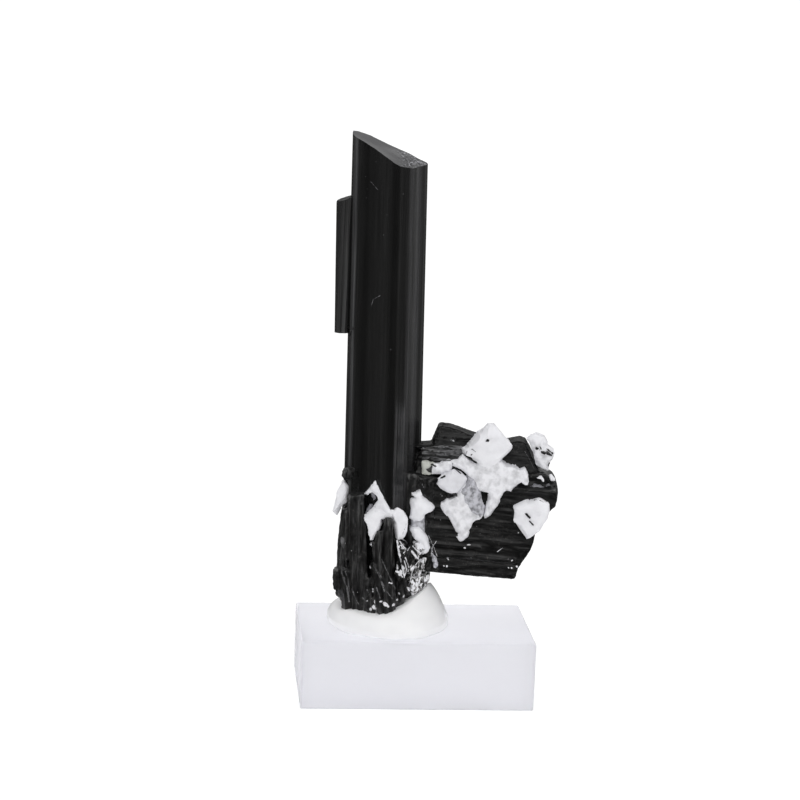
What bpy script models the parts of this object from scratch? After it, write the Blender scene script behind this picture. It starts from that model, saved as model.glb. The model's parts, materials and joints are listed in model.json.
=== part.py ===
"""Black tourmaline crystals with white albite, set in putty on a clear acrylic block.

The model is in metres with +Z up. The origin is the centre of the block's bottom face, +X is to the
right and +Y is away from the front. Sizes below are in millimetres, and the functions that make meshes
turn them to metres. A tourmaline crystal is a joined stack of convex pieces, and whatever touches it is
cut by the same pieces grown by GAP, so the solids meet with a small even clearance.
"""

import math
import random

import bmesh
import bpy
from mathutils import Vector

MM = 0.001
GAP = 0.3

BLOCK_WIDTH = 31.75
BLOCK_DEPTH = 19.05
BLOCK_HEIGHT = 9.525
BLOCK_BEVEL = 0.3

# Main crystal: a striated prism of rounded three-sided section, outlined at the height of its peak.
PEAK_HEIGHT = 77.0
PEAK_X = -10.72
PRISM_BASE = 11.4
PRISM_CENTRE = (-5.4, -1.0)
PRISM_LEAN = 0.0132
PRISM_TAPER = 0.0007
TOP_DIP = math.radians(26)
TOP_BEARING = math.radians(27)
FLUTE_PITCH = 0.75
FLUTE_DEPTH = 0.14
PRISM_OUTLINE = (
    (-10.7, -0.4),
    (-10.6, -1.5),
    (-10.2, -2.0),
    (-9.3, -2.25),
    (-8.0, -3.1),
    (-6.7, -4.35),
    (-5.5, -5.6),
    (-4.8, -5.8),
    (-3.4, -4.5),
    (-2.9, -3.8),
    (-1.8, -1.5),
    (-1.1, -0.2),
    (-0.6, 1.1),
    (-0.75, 1.6),
    (-1.7, 1.5),
    (-2.9, 2.0),
    (-5.6, 1.8),
    (-8.3, 2.0),
    (-9.9, 1.3),
    (-10.6, 0.5),
)

# Side crystal: a thin prism on the main crystal's left edge, a little wider at its lower end. Each end
# is (height, left side, right side, rise to the right), and the outline is (share of the width, depth Y).
SIDE_LOW = (50.1, -12.25, -9.8, 0.15)
SIDE_HIGH = (68.1, -12.55, -10.25, 0.9)
SIDE_OUTLINE = (
    (0.0, -0.5),
    (0.25, -1.3),
    (0.62, -1.5),
    (0.95, -0.9),
    (1.0, 0.6),
    (0.55, 1.3),
    (0.1, 0.8),
)

# Short crystal end at the left of the foot: the centre (X, Y, Z), half width and half height of each end.
STUB_NEAR = (-10.15, -3.0, 31.0, 0.75, 0.85)
STUB_FAR = (-9.4, 0.4, 31.1, 0.9, 1.0)

# Cross crystal: its own axes start at the lower front edge. S runs along it, V into it and T up.
CROSS_START = Vector((0.0, -3.6, 18.3))
CROSS_YAW = math.radians(8)
CROSS_DIP = math.radians(2.5)
CROSS_S = Vector(
    (
        math.cos(CROSS_YAW) * math.cos(CROSS_DIP),
        -math.sin(CROSS_YAW) * math.cos(CROSS_DIP),
        -math.sin(CROSS_DIP),
    )
)
CROSS_V = Vector((math.sin(CROSS_YAW), math.cos(CROSS_YAW), 0.0))
CROSS_T = CROSS_S.cross(CROSS_V)

# Two small round crystals on its right end: (S, V, T) and radius.
LEFT_BEAD = (15.2, 0.35, 13.9, 0.6)
RIGHT_BEAD = (16.7, 0.5, 14.2, 0.65)

# Front of the main crystal and of its foot: depth Y at each X.
PRISM_FRONT = ((-10.2, -1.4), (-9.6, -2.3), (-7.4, -3.3), (-4.3, -5.8), (-2.3, -3.8), (0.2, 0.8))
FOOT_FRONT = (
    (-11.0, -1.5),
    (-10.0, -3.4),
    (-8.5, -4.7),
    (-6.0, -6.3),
    (-4.2, -7.0),
    (-2.5, -6.2),
    (0.0, -4.7),
    (1.4, -3.6),
)

# Putty mound: its rim on the block, the shares of the rim's size at a few rises above its foot, and the
# line where its top meets the foot of the crystals.
MOUND_MIDDLE = (-3.8, -0.6)
MOUND_RIM = (
    (-12.0, 1.4),
    (-11.7, -2.2),
    (-9.9, -5.7),
    (-6.7, -7.9),
    (-3.2, -8.7),
    (0.4, -7.8),
    (3.2, -5.1),
    (4.7, -1.0),
    (4.2, 3.4),
    (1.2, 6.6),
    (-3.4, 7.7),
    (-8.0, 6.7),
    (-11.0, 4.4),
)
MOUND_SHOULDER = ((0.985, 0.0), (1.0, 0.35), (0.975, 0.9), (0.93, 1.6))
MOUND_TOP = (
    (-10.5, 1.2, 12.2),
    (-10.3, -2.6, 12.3),
    (-9.2, -5.1, 12.7),
    (-6.5, -6.7, 12.5),
    (-3.8, -7.2, 12.9),
    (-1.6, -6.6, 14.0),
    (0.2, -5.5, 15.3),
    (1.5, -3.6, 16.0),
    (2.0, 0.0, 15.2),
    (1.4, 3.2, 14.0),
    (-3.0, 4.9, 13.0),
    (-8.0, 4.4, 12.5),
)

NEAR_BLACK = (0.012, 0.012, 0.013)
ALBITE_WHITE = (0.82, 0.82, 0.84)
PUTTY_WHITE = (0.86, 0.86, 0.88)
ACRYLIC_CLEAR = (0.80, 0.81, 0.85)


def clear_scene():
    for obj in list(bpy.data.objects):
        bpy.data.objects.remove(obj)


def material(name, colour, roughness, transmission=0.0):
    made = bpy.data.materials.new(name)
    made.use_nodes = True
    shader = made.node_tree.nodes["Principled BSDF"]
    shader.inputs["Base Color"].default_value = (*colour, 1.0)
    shader.inputs["Roughness"].default_value = roughness
    shader.inputs["Metallic"].default_value = 0.0
    shader.inputs["Transmission Weight"].default_value = transmission
    return made


def as_mesh(shape, name="shape"):
    bmesh.ops.triangulate(shape, faces=shape.faces)
    bmesh.ops.recalc_face_normals(shape, faces=shape.faces)
    mesh = bpy.data.meshes.new(name)
    shape.to_mesh(mesh)
    shape.free()
    return mesh


def convex(points):
    """Mesh of the convex hull of points in millimetres."""
    shape = bmesh.new()
    for point in points:
        shape.verts.new(Vector(point) * MM)
    bmesh.ops.convex_hull(shape, input=shape.verts)
    inner = [vert for vert in shape.verts if not vert.link_faces]
    bmesh.ops.delete(shape, geom=inner, context="VERTS")
    return as_mesh(shape)


def grown(points, by=GAP):
    """The points spread by a small cube, whose hull stands clear of theirs all round."""
    spread = [Vector((x, y, z)) * by for x in (-1, 1) for y in (-1, 1) for z in (-1, 1)]
    return [Vector(point) + corner for point in points for corner in spread]


def loft(rings):
    """Mesh through rings of equal length, closed with a flat face at each end."""
    shape = bmesh.new()
    rows = [[shape.verts.new(Vector(point) * MM) for point in ring] for ring in rings]
    count = len(rows[0])
    for lower, upper in zip(rows, rows[1:]):
        for i in range(count):
            after = (i + 1) % count
            shape.faces.new((lower[i], lower[after], upper[after], upper[i]))
    shape.faces.new(rows[0][::-1])
    shape.faces.new(rows[-1])
    return as_mesh(shape)


def helper(mesh):
    obj = bpy.data.objects.new("helper", mesh)
    obj.hide_render = True
    obj.display_type = "WIRE"
    bpy.context.scene.collection.objects.link(obj)
    return obj


def near(points, others):
    """Those of the other point sets whose boxes overlap the box of the points."""

    def box(cloud):
        return [(min(p[axis] for p in cloud), max(p[axis] for p in cloud)) for axis in range(3)]

    mine = box(points)
    return [
        cloud
        for cloud in others
        if all(low <= top and bottom <= high for (low, high), (bottom, top) in zip(mine, box(cloud)))
    ]


def carved(base, joined=(), cutters=(), solver="EXACT"):
    """The base mesh with other meshes joined to it and then cutters taken out of it."""
    body = helper(base)
    helpers = []
    for operation, meshes in (("UNION", joined), ("DIFFERENCE", cutters)):
        for mesh in meshes:
            other = helper(mesh)
            helpers.append(other)
            step = body.modifiers.new(operation.lower(), "BOOLEAN")
            step.operation = operation
            step.object = other
            step.solver = solver
    graph = bpy.context.evaluated_depsgraph_get()
    result = bpy.data.meshes.new_from_object(body.evaluated_get(graph))
    for obj in (body, *helpers):
        bpy.data.objects.remove(obj)
    return without_crumbs(result)


def without_crumbs(mesh):
    """The mesh with only its largest body, since a cut can leave loose slivers beside it."""
    shape = bmesh.new()
    shape.from_mesh(mesh)
    left = set(shape.verts)
    bodies = []
    while left:
        body, edge = set(), [left.pop()]
        while edge:
            vert = edge.pop()
            body.add(vert)
            fresh = {link.other_vert(vert) for link in vert.link_edges} & left
            left -= fresh
            edge += fresh
        bodies.append(body)
    bodies.sort(key=len)
    crumbs = [vert for body in bodies[:-1] for vert in body]
    bmesh.ops.delete(shape, geom=crumbs, context="VERTS")
    return as_mesh(shape)


def add_node(name, mesh, finish, smooth_angle=None):
    obj = bpy.data.objects.new(name, mesh)
    mesh.name = name
    mesh.materials.clear()
    mesh.materials.append(finish)
    if smooth_angle is not None:
        mesh.shade_smooth()
        mesh.set_sharp_from_angle(angle=math.radians(smooth_angle))
    bpy.context.scene.collection.objects.link(obj)
    return obj


def between(profile, x):
    """Value of a profile of (x, value) pairs at x, straight between its points."""
    if x <= profile[0][0]:
        return profile[0][1]
    for (x0, y0), (x1, y1) in zip(profile, profile[1:]):
        if x <= x1:
            return y0 + (y1 - y0) * (x - x0) / (x1 - x0)
    return profile[-1][1]


def outline_at(outline, middle, share):
    """An outline of pairs drawn in towards a middle point, to a share of its size."""
    return [tuple(m + (value - m) * share for m, value in zip(middle, point)) for point in outline]


def scaled(outline, share):
    middle = [sum(point[axis] for point in outline) / len(outline) for axis in (0, 1)]
    return outline_at(outline, middle, share)


# Main and side crystals


def top_height(x, y):
    """Height of the slanting end face, which dips to the right and towards the front."""
    downhill = math.cos(TOP_BEARING) * (x - PEAK_X) - math.sin(TOP_BEARING) * y
    return PEAK_HEIGHT - math.tan(TOP_DIP) * downhill


def on_prism(x, y, height):
    """A point of the section carried down the prism, which widens and leans right towards its foot."""
    drop = PEAK_HEIGHT - height
    widen = 1 + PRISM_TAPER * drop
    across = PRISM_CENTRE[0] + (x - PRISM_CENTRE[0]) * widen + PRISM_LEAN * drop
    deep = PRISM_CENTRE[1] + (y - PRISM_CENTRE[1]) * widen
    return (across, deep, height)


def fluted(outline, pitch, depth, seed):
    """The outline with shallow grooves, which run along the crystal as striations."""
    chance = random.Random(seed)
    points = []
    for (x0, y0), (x1, y1) in zip(outline, outline[1:] + outline[:1]):
        length = math.hypot(x1 - x0, y1 - y0)
        steps = max(1, round(length / pitch))
        inward = (-(y1 - y0) / length, (x1 - x0) / length)
        points.append((x0, y0))
        for step in range(1, steps):
            along = step / steps + chance.uniform(-0.1, 0.1) / steps
            sink = depth * chance.uniform(0.3, 1.0) * (step % 2)
            x = x0 + (x1 - x0) * along + inward[0] * sink
            y = y0 + (y1 - y0) * along + inward[1] * sink
            points.append((x, y))
    return points


def prism_ends(outline):
    low = [on_prism(x, y, PRISM_BASE) for x, y in outline]
    high = [on_prism(x, y, top_height(x, y)) for x, y in outline]
    return low, high


def side_crystal():
    """Points of the thin prism on the left edge. Its two ends are broken at a slant."""
    points = []
    for height, left, right, rise in (SIDE_LOW, SIDE_HIGH):
        for share, y in SIDE_OUTLINE:
            points.append((left + share * (right - left), y, height + rise * (share - 0.5)))
    return points


# Foot: a bundle of splintered columns around the lower end of the main crystal


def splinter(left, right, front, back, low, high, lean=0.0, slope=0.0, corner=0.28):
    """Points of a six-sided column. The rectangle bounds its lower end, and lean shifts its upper end."""
    wide, deep = right - left, back - front
    section = (
        (left + corner * wide, front),
        (right - 0.8 * corner * wide, front + 0.05 * deep),
        (right, front + 0.45 * deep),
        (right - 0.3 * wide, back),
        (left + 0.2 * wide, back - 0.08 * deep),
        (left, front + 0.5 * deep),
    )
    middle = (left + right) / 2
    lower = [(x, y, low + 0.15 * (x - middle)) for x, y in section]
    upper = [(x + lean, y + 0.2, high + slope * (x - middle)) for x, y in section]
    return lower + upper


def foot_columns():
    """Every column of the foot, seen ones first and then the ring at its back."""
    columns = [
        splinter(-9.1, -6.8, -4.9, -1.0, 11.5, 28.5, lean=-0.9, slope=0.15, corner=0.1),
        splinter(-10.9, -9.4, -2.9, 1.2, 21.4, 26.4, lean=0.3, slope=1.1),
        splinter(-11.0, -9.1, -2.6, 1.4, 13.5, 21.9, lean=0.1, slope=-0.3),
        splinter(-10.3, -9.2, -3.7, -1.6, 19.3, 22.0, lean=-0.1),
        splinter(-10.1, -8.6, -4.4, -0.8, 11.6, 18.0, lean=-0.7, slope=0.1),
        splinter(-11.4, -9.9, -2.6, 0.1, 14.6, 17.4, lean=-0.1, slope=0.2),
        splinter(-4.9, -3.3, -7.0, -3.0, 11.8, 26.0, lean=-0.5, slope=-0.2, corner=0.2),
        splinter(-6.3, -4.9, -6.7, -3.0, 13.5, 24.1, lean=-0.1, slope=0.2),
        splinter(-5.7, -4.2, -6.9, -2.5, 11.5, 19.3, lean=-1.1, slope=-0.2),
        splinter(-4.1, -2.7, -6.8, -2.5, 11.9, 18.6, lean=-1.3, slope=-0.3),
        splinter(-7.3, -5.4, -5.9, -2.2, 11.4, 17.2, lean=-0.7, slope=0.3),
        splinter(-3.5, -1.6, -5.9, -2.0, 12.3, 22.4, lean=-0.2, slope=-0.5),
        splinter(-2.0, 0.0, -4.9, -1.0, 13.2, 24.2, lean=-0.2, slope=-0.3),
        splinter(-0.6, 1.2, -3.9, 0.4, 14.0, 22.6, lean=0.1, slope=-0.4),
        splinter(-10.0, -8.4, 0.4, 2.9, 11.9, 22.4, lean=-0.2, slope=0.4),
        stub_crystal(),
    ]
    chance = random.Random(11)
    for i in range(6):
        left = -9.2 + 1.65 * i
        high = 20.0 + chance.uniform(-3.5, 5.5)
        back = 3.4 - 0.08 * (i - 2.5) ** 2 + chance.uniform(-0.3, 0.3)
        lean = chance.uniform(-0.4, 0.1)
        columns.append(splinter(left, left + 2.0, 0.6, back, 11.7, high, lean, slope=0.3))
    return columns


def stub_crystal():
    """Points of the short crystal end that sticks out to the left where the columns begin."""
    turns = [math.radians(60 * i + 10) for i in range(6)]
    points = []
    for x, y, z, wide, tall in (STUB_NEAR, STUB_FAR):
        points += [(x + wide * math.cos(turn), y, z + tall * math.sin(turn)) for turn in turns]
    return points


# Cross crystal: stubby, lying across the back of the foot with its striations level


def in_cross(s, v, t):
    return CROSS_START + CROSS_S * s + CROSS_V * v + CROSS_T * t


def cross_slab(outline, front, back, bevel=0.92, slant=0.0):
    """Points of a slab of the cross crystal: an (S, T) outline taken from one depth to another.
    Its front leans back by the slant for each unit of height."""
    middle = (front + back) / 2
    foot = min(t for _, t in outline)
    points = [in_cross(s, middle + slant * (t - foot) / 2, t) for s, t in outline]
    points += [in_cross(s, front + slant * (t - foot), t) for s, t in scaled(outline, bevel)]
    points += [in_cross(s, back, t) for s, t in scaled(outline, bevel)]
    return points


def cross_ridge(start, end, height, half, proud):
    """Points of one level rib on the front of the cross crystal."""
    points = []
    for s in (start, end):
        points += [in_cross(s, 0.8, height - 1.6 * half), in_cross(s, 0.8, height + 1.6 * half)]
    for s in (start + 0.5, end - 0.4):
        points += [in_cross(s, -proud, height - 0.5 * half), in_cross(s, -proud, height + 0.6 * half)]
    return points


def cross_pieces():
    lower = ((-3, 0.4), (13, 0.2), (14, 2.2), (15.1, 4.2), (15.4, 5.4), (15.1, 7.4), (13, 8), (-3, 8))
    upper = (
        (-3, 6.2), (13.5, 6.2), (14.8, 7.3), (17.1, 9.6),
        (17.9, 10.6), (18, 11.5), (17.7, 12.7), (-3, 13.2),
    )
    rod = ((-2.5, -0.3), (13.2, -0.2), (13.5, 0.9), (13.2, 1.6), (12, 1.8), (-2.5, 1.7))
    lump = (
        (-0.1, 16.0), (0.1, 16.6), (0.9, 19.1), (2.4, 19.1),
        (3.9, 18.7), (7.8, 17.7), (8.3, 13), (-0.2, 13),
    )
    spur = ((-1.7, 16.1), (-1.6, 16.4), (0.6, 16.7), (0.6, 15.6))
    ledge = ((-1.7, 12.8), (-1.5, 15.3), (0.2, 15.9), (5.2, 16.6), (8.5, 16), (8.5, 12.8))
    plate = ((8, 12.8), (8.6, 17.1), (10.4, 17.8), (12.1, 18.3), (12.9, 18.1), (14.8, 14.5), (16.3, 12.8))
    shelf = ((13, 12.5), (13.9, 14.3), (16.1, 14.5), (17, 13.9), (17.6, 13), (17.4, 12.4))
    rear = ((2, 1.2), (12.6, 1.6), (14.6, 5), (15.6, 8.6), (16.6, 10.8), (15.6, 12), (2, 12.3))
    pieces = [
        cross_slab(lower, -0.6, 7.6, 0.97),
        cross_slab(upper, -0.6, 8.0, 0.97),
        cross_slab(rod, -0.7, 3.0, 0.97),
        cross_slab(lump, 2.6, 7.4, 0.94, slant=0.3),
        cross_slab(spur, 2.8, 6.0, 0.94),
        cross_slab(ledge, 0.9, 6.5, 0.97),
        cross_slab(plate, 1.8, 7.0, 0.95, slant=0.25),
        cross_slab(shelf, 0.6, 5.6, 0.95),
        cross_slab(rear, 4.0, 9.2, 0.9),
    ]
    for start, end, height, half, proud in (
        (0.2, 13.4, 2.4, 0.5, 1.0),
        (0.4, 8.6, 3.8, 0.35, 0.85),
        (0.3, 13.6, 4.9, 0.3, 0.7),
        (0.2, 5.0, 6.0, 0.35, 0.85),
        (0.2, 4.6, 7.3, 0.35, 0.8),
        (8.6, 14.6, 7.2, 0.6, 0.65),
        (0.1, 3.6, 8.8, 0.4, 0.75),
        (10.2, 17.2, 12.3, 0.45, 0.9),
    ):
        pieces.append(cross_ridge(start, end, height, half, proud))
    chance = random.Random(23)
    for i in range(7):
        height = 2.2 + 1.45 * i
        start = chance.uniform(-2.0, 4.0)
        end = chance.uniform(10.5, 14.5)
        back = 9.1 + chance.uniform(0.0, 0.5) - 0.05 * (i - 3) ** 2
        low, high = height - 0.7, height + 0.7
        rib = (
            (start, low), (end, low + 0.1), (end + 0.4, height + 0.1),
            (end, high - 0.1), (start, high),
        )
        pieces.append(cross_slab(rib, 5.0, back, 0.93))
    return pieces


# Albite


def albite_lump(outline, front, back, place, crown=0.72, shoulder=0.45):
    """Points of a blunt crystal. place turns (across, depth, up) to a point of the model."""
    depth = front + shoulder * (back - front)
    points = [place(a, depth, b) for a, b in outline]
    points += [place(a, front, b) for a, b in scaled(outline, crown)]
    points += [place(a, back, b) for a, b in scaled(outline, 0.9)]
    return points


def upright(x, y, z):
    return Vector((x, y, z))


def on_front(profile):
    """Depths are measured back from this profile's front, so a lump follows the face it grows on."""
    return lambda x, y, z: Vector((x, between(profile, x) + y, z))


def centre_cluster():
    rhomb = (
        (7.9, 20.6), (6.3, 19.6), (5, 16.9), (5.3, 16.2),
        (9.7, 15.9), (11.2, 17.5), (9.8, 19.3), (8.7, 20.6),
    )
    mass = (
        (4.5, 16.6), (9.7, 16.3), (12.4, 15.4), (13.7, 13.9),
        (11.4, 11.9), (8, 11.5), (5.2, 12.4), (4.4, 14.4),
    )
    limb = ((7.4, 12.9), (11.4, 12.9), (11.3, 12), (10.1, 10.4), (8.7, 8.2), (8.1, 8.1), (7.9, 9.4))
    plate = ((-1, 14.8), (2.3, 15.1), (4.6, 16), (5.8, 14.1), (3.1, 13.6), (-0.9, 13.5))
    tongue = ((2.1, 9.8), (5, 12.4), (7, 12.1), (6.4, 5.6), (5.6, 4.6), (4.9, 4.9), (3.7, 7.3))
    lobe = ((5.4, 13.3), (7.4, 12.7), (7.8, 10.2), (8, 8.2), (6.6, 7.5), (5.6, 8.6))
    egg = (
        (2.5, 14.1), (1.5, 12.8), (1.5, 11.7), (2.2, 11.1),
        (3.7, 11), (5.5, 12.8), (5.6, 13.8), (3.8, 14.6),
    )
    return [
        albite_lump(mass, -1.7, 2.6, in_cross),
        albite_lump(rhomb, -1.6, 3.8, in_cross, crown=0.75, shoulder=0.3),
        albite_lump(limb, -1.6, 0.0, in_cross),
        albite_lump(plate, -0.9, 0.8, in_cross, crown=0.9),
        albite_lump(tongue, -1.9, 0.0, in_cross, crown=0.6),
        albite_lump(lobe, -1.7, 0.0, in_cross),
        albite_lump(egg, -2.6, 0.4, in_cross, crown=0.6),
    ]


def right_crystal():
    top = ((11.8, 10.4), (14.9, 11.6), (16.2, 11.5), (17.1, 10), (16.8, 8.9))
    outline = (*top, (15.1, 6.1), (14.4, 5.6), (13.5, 6.4), (12.1, 9))
    return [albite_lump(outline, -2.6, 0.0, in_cross, crown=0.55)]


def top_right_crystal():
    upper = ((13.0, 19.0), (14.2, 19.6), (15.4, 19.4), (15.8, 18.2), (15.6, 16.6), (14.2, 16.2))
    lower = ((13.8, 17.8), (16.0, 17.9), (16.9, 17.4), (16.8, 16.5), (16.4, 15.2), (14.6, 15.3))
    return [albite_lump(upper, 0.8, 4.6, in_cross), albite_lump(lower, 0.4, 4.0, in_cross)]


def bead(s, v, t, radius):
    """Points of a small round crystal at (s, v, t): three rings and two poles."""
    points = [in_cross(s, v, t - radius), in_cross(s, v, t + radius)]
    for level in (-45, 0, 45):
        ring = radius * math.cos(math.radians(level))
        height = t + radius * math.sin(math.radians(level))
        for i in range(8):
            turn = math.radians(45 * i + level / 2)
            points.append(in_cross(s + ring * math.cos(turn), v + ring * math.sin(turn), height))
    return points


def left_blade():
    right = ((-10.8, 30.1), (-9.9, 29.9), (-9.6, 29), (-9.8, 26.9))
    outline = (*right, (-11.1, 25), (-11.9, 25.3), (-12.1, 26), (-11.4, 28))
    return [albite_lump(outline, -3.1, -0.2, upright, crown=0.7)]


def spearhead():
    tip = ((-6.7, 31.2), (-8.3, 29.2), (-7.6, 28.9), (-6.2, 28.4), (-4.4, 27.0), (-4.4, 27.5))
    blade = ((-6.1, 29.9), (-5.7, 26.4), (-3.6, 25.2), (-3.6, 27.6), (-4.3, 27.6))
    left_lobe = ((-8, 26), (-6.9, 27), (-4.2, 27.6), (-4, 25.8), (-6.2, 23), (-6.9, 22.5), (-7.2, 24.2))
    right_lobe = ((-5.0, 27.4), (-3.3, 27.7), (-2.1, 25.8), (-2.1, 24.3), (-3.4, 22.2), (-3.9, 23.9))
    place = on_front(PRISM_FRONT)
    return [
        albite_lump(blade, -1.5, 1.0, place),
        albite_lump(tip, -1.2, 0.8, place),
        albite_lump(left_lobe, -2.1, 0.6, place),
        albite_lump(right_lobe, -2.2, 0.6, place),
    ]


def foot_lump_and_crust():
    """A lump beside the main crystal, and below it the crust that covers the foot's right side."""
    head = (
        (-1.8, 28), (-1.4, 29.2), (-0.4, 29.7), (0.2, 28.8),
        (1.5, 27.6), (1.6, 27), (1, 26.4), (-1.7, 25.6),
    )
    neck = (
        (-1.8, 27.2), (0.3, 27), (0.6, 24.2), (1.3, 21.9),
        (0.5, 20.8), (-0.3, 21.2), (-1.3, 22.4), (-1.6, 24),
    )
    pieces = [
        albite_lump(head, -5.9, -2.2, upright),
        albite_lump(neck, -5.9, -2.2, upright, crown=0.8),
    ]
    place = on_front(FOOT_FRONT)
    # Each clump: centre (X, Z), half width, half height and lean.
    for x, z, wide, tall, lean in (
        (-0.5, 21.0, 1.2, 1.3, 0.0),
        (-2.7, 21.5, 0.7, 1.5, 0.2),
        (-1.7, 20.8, 1.0, 1.2, -0.2),
        (-2.2, 19.3, 0.6, 1.7, 0.1),
        (-1.2, 19.0, 0.6, 1.5, -0.2),
        (-2.9, 18.2, 0.6, 1.1, 0.2),
        (-0.2, 18.9, 0.8, 1.5, 0.1),
        (0.8, 19.2, 0.8, 1.9, 0.0),
        (-1.0, 17.2, 0.6, 1.4, 0.3),
        (0.1, 17.0, 0.9, 1.3, -0.1),
        (1.0, 17.3, 0.7, 1.5, 0.1),
        (-0.6, 15.9, 0.8, 0.9, 0.2),
        (0.5, 16.1, 0.7, 0.9, 0.0),
        (-2.0, 17.2, 0.5, 1.2, 0.2),
        (-1.7, 15.8, 0.5, 1.0, 0.3),
    ):
        ring = []
        for i in range(7):
            turn = 2 * math.pi * i / 7 + 0.3 * x
            ring.append((x + wide * math.cos(turn) - lean * math.sin(turn), z + tall * math.sin(turn)))
        pieces.append(albite_lump(ring, -0.8, 1.4, place, crown=0.6))
    return pieces


def thin_blade():
    outline = ((1.6, 21.7), (2.1, 21.0), (2.5, 19.4), (2.3, 18.6), (1.7, 18.9), (1.4, 20.3))
    return [albite_lump(outline, -5.4, -3.9, upright, crown=0.8)]


# Whole object


def acrylic_block():
    shape = bmesh.new()
    bmesh.ops.create_cube(shape, size=1.0)
    bmesh.ops.scale(shape, vec=Vector((BLOCK_WIDTH, BLOCK_DEPTH, BLOCK_HEIGHT)) * MM, verts=shape.verts)
    bmesh.ops.translate(shape, vec=(0, 0, BLOCK_HEIGHT / 2 * MM), verts=shape.verts)
    bmesh.ops.bevel(
        shape, geom=shape.edges[:], offset=BLOCK_BEVEL * MM, segments=2, profile=0.5, affect="EDGES"
    )
    return as_mesh(shape)


def adhesive_mound():
    """Points of the mound: its rim, a rounded shoulder and the line where it meets the crystals."""
    seat = BLOCK_HEIGHT + GAP
    points = list(MOUND_TOP)
    for share, rise in MOUND_SHOULDER:
        points += [(x, y, seat + rise) for x, y in outline_at(MOUND_RIM, MOUND_MIDDLE, share)]
    return points


def build():
    clear_scene()
    tourmaline = material("black tourmaline", NEAR_BLACK, 0.3)
    albite = material("white albite", ALBITE_WHITE, 0.5)
    putty = material("white putty", PUTTY_WHITE, 0.3)
    acrylic = material("clear acrylic", ACRYLIC_CLEAR, 0.08, transmission=1.0)

    low, high = prism_ends(fluted(PRISM_OUTLINE, FLUTE_PITCH, FLUTE_DEPTH, seed=5))
    columns = foot_columns()
    cross = cross_pieces()
    black = [side_crystal(), *columns, *cross]
    crystals = carved(loft([low, high]), joined=[convex(points) for points in black])
    add_node("tourmaline_crystals", crystals, tourmaline)

    clearance = [grown(points) for points in (low + high, *black)]
    crust = foot_lump_and_crust()
    clumps = {
        "albite_centre_cluster": centre_cluster(),
        "albite_right_crystal": right_crystal(),
        "albite_top_right_crystal": top_right_crystal(),
        "albite_bead_left": [bead(*LEFT_BEAD)],
        "albite_bead_right": [bead(*RIGHT_BEAD)],
        "albite_left_blade": left_blade(),
        "albite_spearhead": spearhead(),
        "albite_foot_crust": crust,
        "albite_thin_blade": thin_blade(),
    }
    for name, lumps in clumps.items():
        meshes = [convex(points) for points in lumps]
        cutters = [convex(points) for points in near(sum(lumps, []), clearance)]
        # The crust's many thin cuts leave faces that the exact solver can't close.
        solver = "MANIFOLD" if name == "albite_foot_crust" else "EXACT"
        mesh = carved(meshes[0], joined=meshes[1:], cutters=cutters, solver=solver)
        add_node(name, mesh, albite)

    putty_points = adhesive_mound()
    held = near(putty_points, clearance + [grown(points) for points in crust])
    mound = carved(convex(putty_points), cutters=[convex(points) for points in held])
    add_node("adhesive_mound", mound, putty, smooth_angle=35)
    add_node("acrylic_block", acrylic_block(), acrylic, smooth_angle=30)


build()
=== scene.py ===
"""Finish of a black tourmaline specimen: striated crystals, white albite, putty mound and acrylic block.

Lengths in the tables and functions are in millimetres, and mesh_of and moved turn them to metres. The origin
is the centre of the block's bottom face, +X is to the right, +Y away from the front and +Z up.
"""

import json
import math

import bmesh
import bpy
import numpy as np
from bpy.props import FloatProperty, FloatVectorProperty, PointerProperty
from mathutils import Matrix, Vector
from mathutils.bvhtree import BVHTree
from mathutils.geometry import delaunay_2d_cdt
from mathutils.kdtree import KDTree

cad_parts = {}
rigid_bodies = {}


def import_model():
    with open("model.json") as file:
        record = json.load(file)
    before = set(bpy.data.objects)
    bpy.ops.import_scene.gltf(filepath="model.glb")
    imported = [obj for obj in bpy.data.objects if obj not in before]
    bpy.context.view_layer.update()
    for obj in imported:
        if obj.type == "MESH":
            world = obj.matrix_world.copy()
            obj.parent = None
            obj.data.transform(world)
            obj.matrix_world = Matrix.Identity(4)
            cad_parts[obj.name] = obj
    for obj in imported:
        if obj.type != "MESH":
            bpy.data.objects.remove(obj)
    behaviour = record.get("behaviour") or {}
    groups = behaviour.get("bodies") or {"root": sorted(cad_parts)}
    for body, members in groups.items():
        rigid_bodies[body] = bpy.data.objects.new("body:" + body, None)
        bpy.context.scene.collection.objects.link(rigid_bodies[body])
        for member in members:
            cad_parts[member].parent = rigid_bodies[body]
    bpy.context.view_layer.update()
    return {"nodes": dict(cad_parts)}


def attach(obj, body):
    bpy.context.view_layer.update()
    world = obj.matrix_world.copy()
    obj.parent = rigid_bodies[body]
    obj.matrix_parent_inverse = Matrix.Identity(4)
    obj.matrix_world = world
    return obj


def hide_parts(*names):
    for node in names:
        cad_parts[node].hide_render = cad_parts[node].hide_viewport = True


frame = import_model()

bl_info = {
    "name": "Tourmaline specimen finish",
    "version": (1, 0, 0),
    "blender": (4, 5, 0),
    "location": "3D View > Sidebar > Specimen",
    "description": "Builds the finished surfaces of a tourmaline specimen over its solid model",
    "category": "Object",
}

MM = 0.001
UP = np.array((0.0, 0.0, 1.0))


def linear(code):
    """Linear RGBA of an sRGB hex code."""
    shares = [int(code[i : i + 2], 16) / 255 for i in (0, 2, 4)]
    return tuple(c / 12.92 if c <= 0.04045 else ((c + 0.055) / 1.055) ** 2.4 for c in shares) + (1.0,)


def shaded(tone, share):
    """The colour at a share of its brightness."""
    return tuple(c * share for c in tone[:3]) + (1.0,)


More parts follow.
